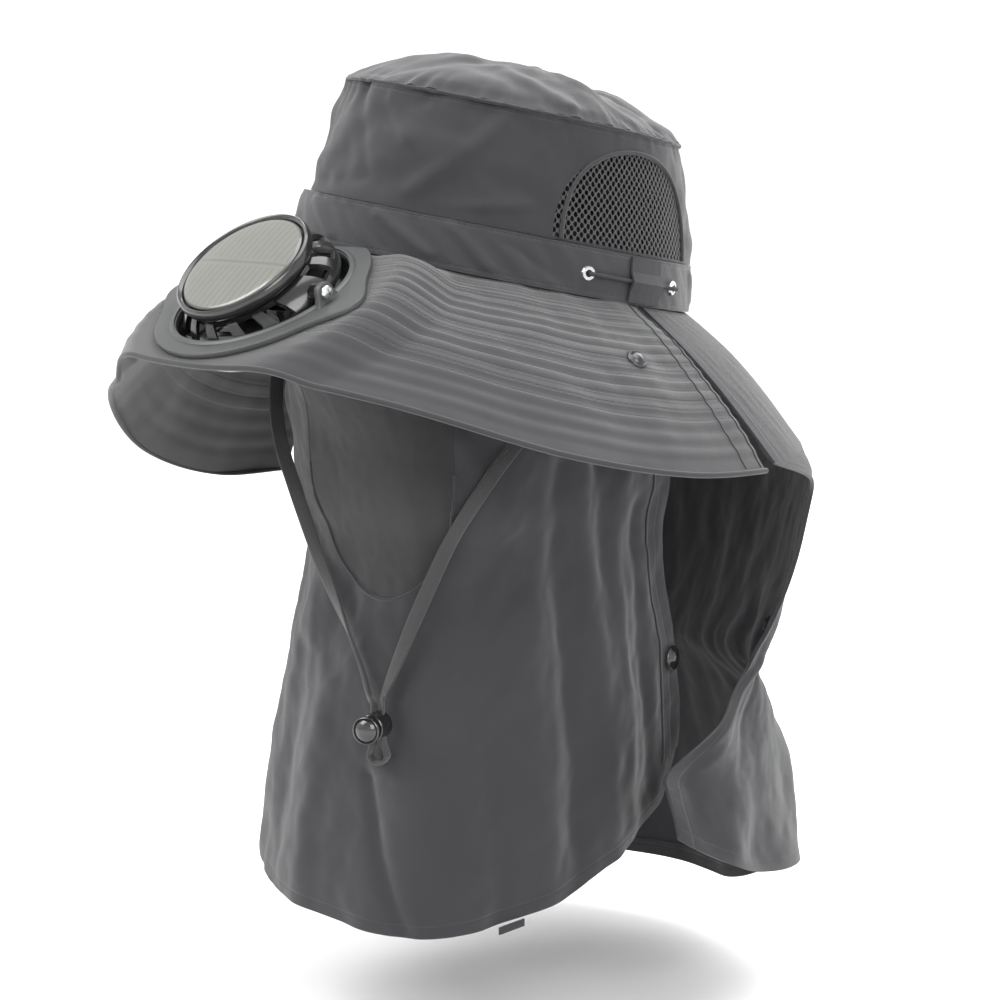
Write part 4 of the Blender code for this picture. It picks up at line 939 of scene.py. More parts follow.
@dataclass
class Brim:
    """Stiff stitched brim, its binding and snaps, with the fan's hole through it."""

    head: Head
    width: float = 0.0875
    drop: float = 0.1080
    wall: float = 0.0015
    end: float = 94.0
    arch: float = 0.0055
    binding: float = 0.0013
    plate_centre: tuple[float, float, float] = (0.0, -0.1426, -0.0025)
    plate_slope: float = 27.0
    plate_wall: float = 0.0025
    plate_reach: float = 0.0600
    hole: float = 0.0414
    edge: tuple[Row, ...] = (
        (-96.0, 0.840, 1.000), (-80.0, 0.888, 0.991), (-60.0, 0.920, 0.824), (-35.0, 0.947, 0.500),
        (-10.0, 0.979, 0.324), (10.0, 1.000, 0.282), (30.0, 0.989, 0.370), (55.0, 0.936, 0.588),
        (75.0, 0.872, 0.699), (96.0, 0.830, 0.736),
    )

    @property
    def plate(self) -> Matrix:
        """Frame of the fan's base plate."""
        return Matrix.Translation(self.plate_centre) @ Matrix.Rotation(math.radians(self.plate_slope), 4, "X")

    def point(self, azimuth: float, share: float) -> Vector:
        """Middle of the brim from the ring, 0, to its edge, 1, flat under the fan."""
        edge = facing(azimuth) * (self.head.half_length + self.width) * along(self.edge, azimuth, 1)
        edge.z = -self.drop * along(self.edge, azimuth, 2)
        place = self.head.ring(azimuth).lerp(edge, share)
        place.z += self.arch * math.sin(math.pi * share)
        local = self.plate_back @ place
        bed = 1.0 - smoothstep(self.plate_reach, self.plate_reach + 0.022, math.hypot(local.x, local.y))
        seat = -self.plate_wall - 1.5 * GAP - self.wall / 2
        local.z += (seat - local.z) * bed * smoothstep(0.0, 0.10, share)
        return self.plate_frame @ local

    def __post_init__(self) -> None:
        """Keep the plate's frame and its inverse."""
        self.plate_frame = self.plate
        self.plate_back = self.plate.inverted()

    def relief(self, azimuth: float, share: float) -> float:
        """Soft waves of the brim and a slight quilting between its stitch rows."""
        local = self.plate_back @ self.point(azimuth, share)
        free = smoothstep(self.plate_reach - 0.006, self.plate_reach + 0.010, math.hypot(local.x, local.y))
        x, y = math.radians(azimuth) * 0.13, share * self.width
        rows = (y - 0.0085) / 0.0062
        quilt = math.cos(2 * math.pi * rows) if 0.0 < rows < 12.0 else 1.0
        quilt *= -0.00022 * smoothstep(-0.2, 0.3, rows)
        return (ripple(x, y, 1.0, 0.034) * 0.0016 + ripple(x, y, 11.0, 0.012) * 0.0004) * free + quilt * free

    def build(self) -> dict[str, bpy.types.Object]:
        """Build and dress the brim.

        Returns:
            Its soft pieces by name.
        """
        work = Stitching(pitch=0.0062, first=0.0054, last=0.0835, across=(0.0022,), stitch=0.0032, half=0.0008)
        cloth = ClothFinish("brim_cloth", (0.0215, 0.0215, 0.0235), roughness=0.72, sheen=0.35, speckle=0.55,
                            speckle_size=0.0008, stitching=work).make()
        edge_cloth = ClothFinish("binding_cloth", (0.022, 0.022, 0.024), speckle=0.2).make()
        azimuths = spread(-self.end, self.end, 330)
        shares = spread(0.0, 1.0, 130)
        sheet = Loom.weave(azimuths, shares, self.point, self.relief, self.wall * 0.9)
        carve(sheet, prism([(self.hole * math.cos(2 * math.pi * i / 96), self.hole * math.sin(2 * math.pi * i / 96))
                            for i in range(96)], -0.02, 0.02, self.plate))
        made = {"brim": finish_piece(sheet, "brim_cloth", cloth, Body.HAT, ["brim"], 40)}
        path = []
        for azimuth in spread(-self.end, self.end, 220):
            edge = self.point(azimuth, 1.0)
            way = (edge - self.point(azimuth, 0.97)).normalized()
            path.append(edge + way * (self.binding * 0.7))
        finish_piece(tube(path, self.binding), "brim_edge_binding", edge_cloth, Body.HAT, ["brim_binding"])
        self.side_seams(edge_cloth)
        return made

    def side_seams(self, cloth: bpy.types.Material) -> None:
        """Double seam down the brim beside the cape on each side."""
        for name, side in (("left", 1.0), ("right", -1.0)):
            for number, azimuth in enumerate((self.end - 1.0, self.end - 5.5)):
                path = []
                for share in spread(0.01, 0.99, 70):
                    spot = self.point(side * azimuth, share)
                    normal = normal_of(self.point, side * azimuth, share, 0.5, 0.01)
                    path.append(spot + normal * (self.wall / 2 + self.relief(side * azimuth, share)))
                finish_piece(tube(path, 0.00045, 2), f"brim_seam_{name}_{number}", cloth, Body.HAT)


@dataclass
class Cape:
    """Neck cape in one piece from ear to ear, folded back below and hemmed all round."""

    head: Head
    length: float = 0.2860
    flare: float = 0.0515
    top_edge: float = 96.0
    side_lift: float = 0.026
    back_drop: float = 0.027
    folds: float = 9.0
    fold_depth: float = 0.0030
    arch: float = 0.0055
    rows: tuple[Row, ...] = (
        (0.280, 0.974, 2.0, 0.97, 103.0), (0.336, 1.000, 2.0, 1.00, 126.0), (0.402, 0.987, 2.0, 1.00, 132.0),
        (0.500, 0.934, 2.1, 1.02, 132.0), (0.587, 0.862, 2.2, 1.04, 131.0), (0.657, 0.799, 2.4, 1.06, 127.0),
        (0.720, 0.836, 2.5, 1.08, 99.0), (0.790, 0.872, 2.6, 1.08, 86.0), (0.892, 0.911, 2.8, 1.08, 84.0),
        (1.000, 0.937, 3.0, 1.08, 86.5),
    )

    def row_point(self, level: float, azimuth: float) -> Vector:
        """Point at one level of the table."""
        squareness = along(self.rows, level, 2)
        size = self.head.half_length + self.flare
        half_width = size * along(self.rows, level, 1) / 2.0 ** (0.5 - 1.0 / squareness)
        reach = oval(azimuth, half_width, half_width * along(self.rows, level, 3), squareness)
        fold = self.fold_depth * smoothstep(0.35, 0.70, level) * math.cos(math.radians(azimuth - 180) * self.folds)
        place = facing(azimuth) * (reach + fold)
        nearness = min(azimuth, 360.0 - azimuth)
        side = max(0.0, (140.0 - nearness) / 45.0)
        lift = self.side_lift * side * side - self.back_drop * smoothstep(135.0, 165.0, nearness)
        place.z = lift * smoothstep(0.70, 1.0, level) - self.length * level
        return place

    def point(self, across: float, down: float) -> Vector:
        """Middle of the cape.

        Args:
            across: From the near edge on the wearer's left, 0, to the far one, 1.
            down: From the ring, 0, over the table's first row at 1 and on by rows to the hem.

        Returns:
            The point in the row frame.
        """
        if down < 1.0:
            edge = self.top_edge + (self.rows[0][4] - self.top_edge) * down
            azimuth = edge + (360.0 - 2 * edge) * across
            place = self.head.ring(azimuth).lerp(self.row_point(self.rows[0][0], azimuth), down)
            place.z += self.arch * math.sin(math.pi * down)
            return place
        row = min(down - 1.0, len(self.rows) - 1.0)
        index = min(int(row), len(self.rows) - 2)
        level = self.rows[index][0] + (self.rows[index + 1][0] - self.rows[index][0]) * (row - index)
        edge = along(self.rows, level, 4)
        return self.row_point(level, edge + (360.0 - 2 * edge) * across)

    def relief(self, across: float, down: float) -> float:
        """Soft folds that grow towards the hem, and a drag along the fold-back."""
        x, y = across * 0.40, down * 0.030
        growth = smoothstep(0.4, 5.0, down)
        soft = ripple(x, y * 0.55, 21.0, 0.030) * 0.0042 + ripple(x, y * 0.6, 22.0, 0.013) * 0.0012
        small = ripple(x, y, 23.0, 0.006) * 0.0003
        hem = min(across, 1.0 - across, (len(self.rows) - down) / 9.0)
        drag = 0.0022 * sum(bell(abs(across - 0.5) * 2, at, 0.035) * bell(down, 6.0, 1.6) for at in (0.80, 0.90))
        return (soft * growth + small + drag) * smoothstep(-0.01, 0.035, hem)

    def build(self) -> dict[str, bpy.types.Object]:
        """Build and dress the cape.

        Returns:
            Its soft pieces by name.
        """
        columns = spread(0.0, 1.0, 250)
        rows = spread(0.0, 10.0, 150)
        sheet = Loom.weave(columns, rows, self.point, self.relief, CLOTH * 0.9)
        wide, tall = sheet["span"]
        LOG.info("cape span %.3f by %.3f", wide, tall)
        work = Stitching(across=(tall - 0.0068, 0.0022), along=(0.0068, wide - 0.0068), half=0.0008)
        cloth = ClothFinish("cape_cloth", (0.0165, 0.0165, 0.0190), roughness=0.78, stitching=work).make()
        made = {"cape": finish_piece(sheet, "cape_cloth", cloth, Body.HAT, ["neck_cape"], 60)}
        self.hems(cloth)
        return made

    def hems(self, cloth: bpy.types.Material) -> None:
        """Turned hem on the inside of both edges and along the bottom."""
        def under(across: float, down: float) -> Vector:
            normal = normal_of(self.point, across, down, 0.003, 0.03)
            return self.point(across, down) - normal * (CLOTH * 0.75 - self.relief(across, down))
        width = 0.0068 / 0.40
        for name, low, high in (("left", 0.0, width), ("right", 1.0 - width, 1.0)):
            strip = Loom.weave(spread(low, high, 6), spread(0.9, 9.995, 130), under, None, CLOTH * 0.6)
            finish_piece(strip, "cape_hem_" + name, cloth, Body.HAT)
        strip = Loom.weave(spread(0.0, 1.0, 250), spread(9.76, 9.995, 6), under, None, CLOTH * 0.6)
        finish_piece(strip, "cape_hem_bottom", cloth, Body.HAT)


@dataclass
class Veil:
    """Face veil with its breathing net, plackets and hem."""

    head: Head
    length: float = 0.2885
    inset: float = 0.0023
    net_half_angle: float = 27.0
    net_bottom: float = -0.143
    net_turn: float = 9.0
    rows: tuple[Row, ...] = (
        (-0.035, 1.017, 0.876, 2.0), (0.052, 1.006, 0.863, 2.1), (0.139, 0.960, 0.829, 2.3),
        (0.243, 0.902, 0.803, 2.6), (0.340, 0.861, 0.774, 2.8), (0.409, 0.827, 0.722, 2.8),
        (0.492, 0.838, 0.726, 2.8), (0.582, 0.884, 0.782, 2.8), (0.711, 0.925, 0.850, 2.8),
        (0.901, 0.971, 0.953, 2.8), (1.040, 1.000, 1.000, 2.8),
    )
    top: tuple[Row, ...] = ((0.0, 0.173), (25.0, 0.152), (50.0, 0.042), (62.0, -0.010), (120.0, -0.010))
    hem: tuple[Row, ...] = (
        (-126.0, 0.825), (-90.0, 0.908), (-46.0, 0.957), (0.0, 0.984), (32.0, 1.000), (60.0, 0.971),
        (82.0, 0.925), (104.0, 0.873), (126.0, 0.818),
    )
    edge: tuple[Row, ...] = ((0.0, 92.0), (0.20, 114.0), (0.38, 124.0), (0.80, 126.0), (0.92, 123.0), (1.0, 112.0))
    folds: tuple[Fold, ...] = (
        Fold((12, 0.74), (19, 0.88), 0.0036, -0.0030), Fold((20, 0.90), (25, 0.99), 0.0032, -0.0026),
        Fold((27, 0.60), (29, 0.99), 0.0100, 0.0030), Fold((40, 0.42), (47, 0.99), 0.0085, -0.0026),
        Fold((54, 0.50), (60, 0.98), 0.0090, 0.0026), Fold((66, 0.30), (71, 0.96), 0.0070, -0.0024),
        Fold((96, 0.34), (93, 0.96), 0.0085, 0.0030), Fold((108, 0.40), (106, 0.94), 0.0060, -0.0022),
        Fold((-8, 0.62), (-4, 0.99), 0.0090, 0.0028), Fold((-24, 0.58), (-20, 0.98), 0.0080, -0.0024),
        Fold((-42, 0.48), (-40, 0.97), 0.0095, 0.0030), Fold((-62, 0.40), (-58, 0.96), 0.0075, -0.0026),
        Fold((-82, 0.36), (-78, 0.95), 0.0090, 0.0030), Fold((-102, 0.38), (-100, 0.93), 0.0075, -0.0024),
        Fold((36, 0.16), (50, 0.36), 0.0050, 0.0018), Fold((-36, 0.16), (-50, 0.36), 0.0050, 0.0018),
        Fold((70, 0.10), (84, 0.30), 0.0055, -0.0018), Fold((-70, 0.10), (-84, 0.30), 0.0055, -0.0018),
    )

    def azimuth(self, across: float, share: float) -> float:
        """Azimuth at a place on the veil."""
        return along(self.edge, share, 1) * across

    def point(self, across: float, share: float) -> Vector:
        """Middle of the veil, from the right rear edge, -1, to the left one, 1, and from the top to the hem."""
        azimuth = self.azimuth(across, share)
        drop = self.length * along(self.top, abs(azimuth), 1)
        held = self.head.hat @ (facing(azimuth) * (self.head.radius(azimuth) - self.inset) + Vector((0, 0, -drop)))
        level = held.z - (held.z + self.length * along(self.hem, azimuth, 1)) * share
        key = -level / self.length
        half_width = (self.head.half_width - 0.0010) * along(self.rows, key, 1)
        front = (self.head.half_length + 0.0165) * along(self.rows, key, 2)
        reach = oval(azimuth, half_width, front, along(self.rows, key, 3))
        crease = 0.0030 * bell(azimuth - 12 * share, 74.0, 5.0) * smoothstep(0.2, 0.5, share)
        billow = 0.0022 * math.sin(math.radians(azimuth * 5 + 30)) * smoothstep(0.35, 0.9, share)
        place = held.lerp(facing(azimuth) * (reach + crease + billow), smoothstep(0.0, 0.17, share))
        place.z = level
        return place

    def relief(self, across: float, share: float) -> float:
        """Folds and soft dents, quiet at the top and the rear edges."""
        azimuth = self.azimuth(across, share)
        scale = (0.095 * math.pi / 180, 0.25)
        folds = sum(fold.at(azimuth, share, scale) for fold in self.folds)
        x, y = math.radians(azimuth) * 0.095, share * 0.25
        soft = ripple(x, y * 0.6, 31.0, 0.026) * 0.0030 + ripple(x, y * 0.8, 32.0, 0.010) * 0.0009
        window = smoothstep(0.0, 0.10, share) * smoothstep(0.0, 0.05, 1.0 - abs(across))
        fine = ripple(x, y, 33.0, 0.005) * 0.00025
        net = 1.0 - 0.8 * bell(azimuth, self.net_turn, 24.0) * (1.0 - smoothstep(0.34, 0.50, share))
        return (folds + soft) * window * net + fine

    def window(self, border: float) -> bpy.types.Object:
        """Prism of the breathing net's outline straight through the front."""
        reach = 0.09 * math.sin(math.radians(self.net_half_angle)) - border
        bottom = self.net_bottom + border
        outline = [(-reach, 0.02)]
        for i in range(25):
            turn = math.pi * i / 24
            outline.append((-reach * math.cos(turn), bottom + 0.060 - 0.060 * math.sin(turn)))
        outline.append((reach, 0.02))
        upright = Matrix(((0, 0, 1, 0), (1, 0, 0, 0), (0, 1, 0, 0), (0, 0, 0, 1)))
        return prism(outline, 0.03, 0.14, Matrix.Rotation(math.radians(self.net_turn - 90), 4, "Z") @ upright)

    def build(self) -> dict[str, bpy.types.Object]:
        """Build and dress the veil.

        Returns:
            Its soft pieces by name.
        """
        sheet = Loom.weave(spread(-1.0, 1.0, 260), spread(0.0, 1.0, 170), self.point, self.relief, CLOTH * 0.75)
        wide, tall = sheet["span"]
        LOG.info("veil span %.3f by %.3f", wide, tall)
        work = Stitching(across=(tall - 0.0070, 0.0022), along=(0.0075, wide - 0.0075), half=0.0008)
        cloth = ClothFinish("veil_cloth", (0.0190, 0.0190, 0.0215), roughness=0.76, sheen=0.3, stitching=work).make()
        carve(sheet, self.window(0.0))
        made = {"veil": finish_piece(sheet, "veil_cloth", cloth, Body.HAT, ["face_veil"], 60)}
        net = NetFinish("breathing_net", (0.0200, 0.0200, 0.0215), hole=0.21, cell=0.0011).make()
        panel = Loom.weave(spread(-0.42, 0.60, 150), spread(0.0, 0.62, 110), self.point, self.relief, 0.0005)
        carve(panel, self.window(-0.0012), "INTERSECT")
        made["net"] = finish_piece(panel, "breathing_net", net, Body.HAT, ["veil_mesh"], 60)
        self.plackets(cloth)
        self.hem_band(cloth)
        self.net_binding(cloth)
        return made

    def lifted(self, off: float) -> Surface:
        """The veil's surface with its folds, moved out by a distance."""
        def surface(across: float, share: float) -> Vector:
            normal = normal_of(self.point, across, share, 0.004, 0.004)
            return self.point(across, share) + normal * (off + self.relief(across, share))
        return surface

    def plackets(self, cloth: bpy.types.Material) -> None:
        """Stitched strip beside each rear edge."""
        work = Stitching(along=(0.0015, 0.0068), stitch=0.0028, half=0.0007)
        strip_cloth = ClothFinish("placket_cloth", (0.0205, 0.0205, 0.0230), roughness=0.76, stitching=work).make()
        for name, low, high in (("left", 0.925, 0.998), ("right", -0.998, -0.925)):
            strip = Loom.weave(spread(low, high, 8), spread(0.12, 0.93, 150), self.lifted(CLOTH * 0.8), None, CLOTH * 0.7)
            finish_piece(strip, "placket_strip_" + name, strip_cloth, Body.HAT, ["placket_" + name])

    def hem_band(self, cloth: bpy.types.Material) -> None:
        """Turned hem along the bottom, inside."""
        strip = Loom.weave(spread(-0.995, 0.995, 260), spread(0.970, 0.999, 5), self.lifted(-CLOTH * 0.6), None,
                           CLOTH * 0.6)
        finish_piece(strip, "veil_hem", cloth, Body.HAT)

    def net_binding(self, cloth: bpy.types.Material) -> None:
        """Narrow welt round the breathing net, laid on the veil's front."""
        surface = self.lifted(CLOTH * 0.45)
        turn = Matrix.Rotation(math.radians(-self.net_turn), 4, "Z")
        grid = [(turn @ surface(a, s), a, s) for a in spread(-0.42, 0.60, 68) for s in spread(0.0, 0.66, 56)]
        reach = 0.09 * math.sin(math.radians(self.net_half_angle))
        centre = self.net_bottom + 0.060
        path = []
        for i in range(61):
            angle = math.pi * i / 60
            x, z = -reach * math.cos(angle), centre - 0.060 * math.sin(angle)
            near = sorted(grid, key=lambda item: (item[0].x - x) ** 2 + (item[0].z - z) ** 2)[:3]
            depth = sum(item[0].y for item in near) / 3
            path.append(turn.inverted() @ Vector((x, depth, z)))
        finish_piece(tube(path, 0.0007), "breathing_net_welt", cloth, Body.HAT)


@dataclass
class BrimFan:
    """Tilting fan in the brim: plate, ears, cage with curved vanes, solar disc and the guard below."""

    brim: Brim
    hinge_forward: float = 0.0010
    hinge_height: float = 0.0040
    tilt: float = 12.0
    plate_radius: float = 0.0500
    plate_hole: float = 0.0400
    back_limit: float = 0.0432
    lobe_spread: float = 15.0
    lobe_reach: float = 0.0100
    ear_inner: float = 0.0408
    ear_wall: float = 0.0030
    ear_width: float = 0.0090
    boss: float = 0.0034
    pin: float = 0.0014
    cage_radius: float = 0.0375
    cage_floor: float = -0.0065
    cage_top: float = 0.0072
    cage_wall: float = 0.0015
    vanes: int = 16
    vane_twist: float = 11.0
    solar_radius: float = 0.0324
    solar_height: float = 0.0070
    cells_radius: float = 0.0292
    segments: int = 96

    def __post_init__(self) -> None:
        """Work out the hinge's and the fan head's frames."""
        self.hinge = self.brim.plate @ Matrix.Translation((0.0, -self.hinge_forward, self.hinge_height))
        self.head = self.hinge @ Matrix.Rotation(math.radians(self.tilt), 4, "X")
        self.satin = PlasticFinish("satin_plastic", (0.046, 0.048, 0.048), 0.42, texture=0.000010).make()
        self.gloss = PlasticFinish("gloss_plastic", (0.010, 0.010, 0.010), 0.20, coat=0.35).make()
        self.dark = PlasticFinish("dark_plastic", (0.012, 0.012, 0.012), 0.34).make()
        self.steel = MetalFinish("screw_steel", (0.62, 0.62, 0.63), 0.24).make()

    def build(self) -> None:
        """Build and dress every piece of the fan."""
        self.base()
        self.cage()
        self.solar()
        self.screws()
        self.guard()
        for name, finish in (("fan_motor", self.dark), ("fan_rotor", self.dark)):
            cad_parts[name].data.materials[0] = finish

    def outline(self, angle: float) -> float:
        """Radius of the base plate at an angle from the wearer's left towards the crown."""
        bump = sum(math.exp(-(((angle - middle + 180.0) % 360.0 - 180.0) / self.lobe_spread) ** 2)
                   for middle in (0.0, 180.0))
        radius = self.plate_radius + self.lobe_reach * bump
        behind = math.sin(math.radians(angle))
        return min(radius, self.back_limit / behind) if behind > 0.5 else radius

    def base(self) -> None:
        """Plate with its lobes and ears, softly edged."""
        ring = [(self.outline(360.0 * i / 144) * math.cos(2 * math.pi * i / 144),
                 self.outline(360.0 * i / 144) * math.sin(2 * math.pi * i / 144)) for i in range(144)]
        plate = prism(ring, -self.brim.plate_wall, 0.0, Matrix.Identity(4))
        bore = [(self.plate_hole * math.cos(2 * math.pi * i / 96), self.plate_hole * math.sin(2 * math.pi * i / 96))
                for i in range(96)]
        carve(plate, prism(bore, -0.02, 0.02, Matrix.Identity(4)))
        half = self.ear_width / 2
        sideways = Matrix(((0, 0, 1, 0), (1, 0, 0, 0), (0, 1, 0, 0), (0, 0, 0, 1)))
        for side in (-1.0, 1.0):
            profile = [(-self.hinge_forward - half * 1.6, -self.brim.plate_wall * 0.6),
                       (-self.hinge_forward + half * 1.6, -self.brim.plate_wall * 0.6)]
            profile += [(-self.hinge_forward + half * math.cos(math.pi * i / 20),
                         self.hinge_height + half * math.sin(math.pi * i / 20)) for i in range(21)]
            low, high = sorted((side * self.ear_inner, side * (self.ear_inner + self.ear_wall)))
            carve(plate, prism(profile, low, high, sideways), "UNION")
        apply_modifier(plate, "BEVEL", width=0.0006, segments=3, limit_method="ANGLE", angle_limit=math.radians(40))
        plate.data.transform(self.brim.plate)
        finish_piece(plate, "fan_base_plate", self.satin, Body.HAT, ["fan_base"], 35)
        rim = Lathe.turn([(self.plate_hole + 0.0006, 0.0001), (self.plate_hole + 0.0006, 0.0009),
                          (self.plate_hole + 0.0022, 0.0009), (self.plate_hole + 0.0030, 0.0001)], 96, self.brim.plate)
        finish_piece(rim, "fan_base_rim", self.satin, Body.HAT, (), 60)

    def slot(self, angle: float, half_angle: float, radii: Row, twist: float, low: float,
             high: float) -> bpy.types.Object:
        """Tool for one curved slot that turns by the twist over its radii."""
        left, right = [], []
        for i, radius in enumerate(radii):
            turn = angle + twist * i / (len(radii) - 1)
            left.append((radius * math.cos(turn + half_angle), radius * math.sin(turn + half_angle)))
            right.append((radius * math.cos(turn - half_angle), radius * math.sin(turn - half_angle)))
        return prism(right + left[::-1], low, high, Matrix.Identity(4))

    def cage(self) -> None:
        """Bowl with slots between curved vanes, and the bosses that the screws hold."""
        wall, top, radius, floor = self.cage_wall, self.cage_top, self.cage_radius, self.cage_floor
        bowl = Lathe.turn([
            (0.0, top), (0.0286, top), (0.0296, top - 0.0003), (0.0310, top - 0.0010), (0.0324, top - 0.0020),
            (0.0340, top - 0.0034), (0.0354, top - 0.0050), (0.0365, top - 0.0068), (radius - 0.0003, -0.0010),
            (radius, -0.0034), (radius, floor), (radius - wall * 1.3, floor), (radius - wall * 1.4, -0.0012),
            (0.0350 - wall, top - 0.0058), (0.0315 - wall, top - 0.0028), (0.0282, top - wall), (0.0, top - wall),
        ], self.segments, Matrix.Identity(4))
        step = 2 * math.pi / self.vanes
        twist = math.radians(self.vane_twist)
        radii = tuple(spread(0.0302, 0.0400, 6))
        tools = []
        for i in range(self.vanes):
            angle = step * (i + 0.5)
            if abs(math.sin(angle + twist * 0.8)) > math.sin(math.radians(12)):
                tools.append(self.slot(angle, step * 0.30, radii, twist, -0.0010, top + 0.003))
        carve(bowl, join(tools))
        sideways = Matrix.Rotation(math.pi / 2, 4, "Y")
        for side in (-1.0, 1.0):
            low, high = sorted((side * (radius - 0.0014), side * (self.ear_inner - 0.0005)))
            circle = [(self.boss * math.cos(2 * math.pi * i / 32), self.boss * math.sin(2 * math.pi * i / 32))
                      for i in range(32)]
            carve(bowl, prism(circle, low, high, sideways), "UNION")
        apply_modifier(bowl, "BEVEL", width=0.00022, segments=2, limit_method="ANGLE", angle_limit=math.radians(45))
        bowl.data.transform(self.head)
        finish_piece(bowl, "fan_cage_vanes", self.gloss, Body.FAN_HEAD, ["fan_cage"], 35)

    def solar(self) -> None:
        """Dark housing, its clear rim and the disc of cells under cast resin."""
        low = self.cage_top + GAP
        high = low + self.solar_height
        outer, inner = self.solar_radius, self.cells_radius
        housing = Lathe.turn([
            (0.0, low), (0.0296, low), (outer - 0.0010, low + 0.0008), (outer - 0.0002, low + 0.0020), (outer, low + 0.0030),
            (outer, high - 0.0016), (outer - 0.0003, high - 0.0007), (outer - 0.0010, high - 0.0001),
            (outer - 0.0016, high - 0.0003), (inner + 0.0007, high - 0.0012), (inner + GAP, high - 0.0018),
            (inner + GAP, high - 0.0028), (0.0, high - 0.0028),
        ], self.segments, self.head)
        finish_piece(housing, "solar_housing_cup", self.gloss, Body.FAN_HEAD, ["solar_housing"], 45)
        resin = SolarFinish("solar_cells_resin", (0.105, 0.108, 0.090), (0.042, 0.043, 0.036), finger=0.0036,
                            radius=inner - 0.0010).make()
        seat = high - 0.0028 + GAP
        disc = Lathe.turn([
            (0.0, seat), (inner - 0.0001, seat), (inner - 0.0001, high - 0.0012), (inner - 0.0004, high - 0.0008),
            (inner - 0.0014, high - 0.0004), (inner - 0.0034, high - 0.0001), (inner * 0.6, high + 0.0003),
            (inner * 0.3, high + 0.0004), (0.0, high + 0.0004),
        ], self.segments, self.head)
        finish_piece(disc, "solar_disc", resin, Body.FAN_HEAD, ["solar_cells", "solar_cover"], 45)

    def screws(self) -> None:
        """Domed screws with a cross recess."""
        outer = self.ear_inner + self.ear_wall + GAP
        tip = self.ear_inner - 0.0005 - 0.0022
        for name, side in (("left", 1.0), ("right", -1.0)):
            place = self.hinge @ Matrix.Rotation(side * math.pi / 2, 4, "Y")
            screw = Lathe.turn([
                (0.0, tip), (self.pin, tip), (self.pin, outer), (0.0031, outer), (0.0031, outer + 0.0006),
                (0.0028, outer + 0.0011), (0.0021, outer + 0.0015), (0.0010, outer + 0.0017), (0.0, outer + 0.0018),
            ], 40, Matrix.Identity(4))
            for turn in (0.0, math.pi / 2):
                slot = prism([(-0.0017, -0.00028), (0.0017, -0.00028), (0.0017, 0.00028), (-0.0017, 0.00028)],
                             outer + 0.0009, outer + 0.004, Matrix.Rotation(turn, 4, "Z"))
                carve(screw, slot)
            screw.data.transform(place)
            finish_piece(screw, "hinge_screw_head_" + name, self.steel, Body.HAT, ["hinge_screw_" + name], 35)

    def guard(self) -> None:
        """Slotted bowl under the brim."""
        wall, deep = 0.0012, 0.0212
        bowl = Lathe.turn([
            (0.0396, -0.0028), (0.0396, -0.0090), (0.0391, -0.0118), (0.0378, -0.0142), (0.0340, -0.0172),
            (0.0220, -0.0202), (0.0, -deep), (0.0, -deep - wall), (0.0222, -0.0215), (0.0348, -0.0184),
            (0.0388, -0.0152), (0.0402, -0.0122), (0.0407, -0.0091), (0.0407, -0.0028),
        ], self.segments, Matrix.Identity(4))
        step = 2 * math.pi / 20
        radii = tuple(spread(0.0100, 0.0345, 6))
        tools = [self.slot(step * (i + 0.5), step * 0.27, radii, math.radians(16), -0.03, -0.0105) for i in range(20)]
        carve(bowl, join(tools))
        bowl.data.transform(self.brim.plate)
        finish_piece(bowl, "lower_guard", self.gloss, Body.HAT, ["lower_grille"], 35)


@dataclass
class Snaps:
    """Press snaps on brim, veil and cape: a domed cap with a rolled rim."""

    brim: Brim
    veil: Veil
    cape: Cape

    def cap(self, name: str, surface: Surface, u: float, v: float, step: tuple[float, float], size: float,
            off: float, finish: bpy.types.Material, side: float = 1.0) -> None:
        """One snap seated on a surface, outside or, with side -1, inside."""
        normal = normal_of(surface, u, v, *step) * side
        cap = Lathe.turn([
            (0.0, 0.0), (size * 0.92, 0.0), (size, size * 0.07), (size * 0.98, size * 0.17), (size * 0.88, size * 0.22),
            (size * 0.78, size * 0.16), (size * 0.72, size * 0.17), (size * 0.64, size * 0.30), (size * 0.46, size * 0.40),
            (size * 0.22, size * 0.455), (0.0, size * 0.46),
        ], 48, frame_at(surface(u, v) + normal * off, normal))
        finish_piece(cap, name + "_cap", finish, Body.HAT, [name], 60)

    def build(self) -> None:
        """Build all six."""
        gunmetal = MetalFinish("snap_gunmetal", (0.085, 0.085, 0.090), 0.30).make()
        gloss = PlasticFinish("snap_gloss", (0.012, 0.012, 0.013), 0.14, coat=0.5).make()
        for name, side in (("left", 1.0), ("right", -1.0)):
            across = 0.018 if side > 0 else 0.982
            self.cap("brim_snap_" + name, self.brim.point, side * 75.0, 0.44, (1.0, 0.02), 0.0050, 0.0014, gunmetal)
            self.cap("veil_snap_" + name, self.veil.point, side * 0.962, 0.74, (0.004, 0.004), 0.0058, 0.0030, gloss)
            self.cap("cape_snap_" + name, self.cape.point, across, 5.0, (0.004, 0.05), 0.0040, 0.0022, gunmetal, -1.0)


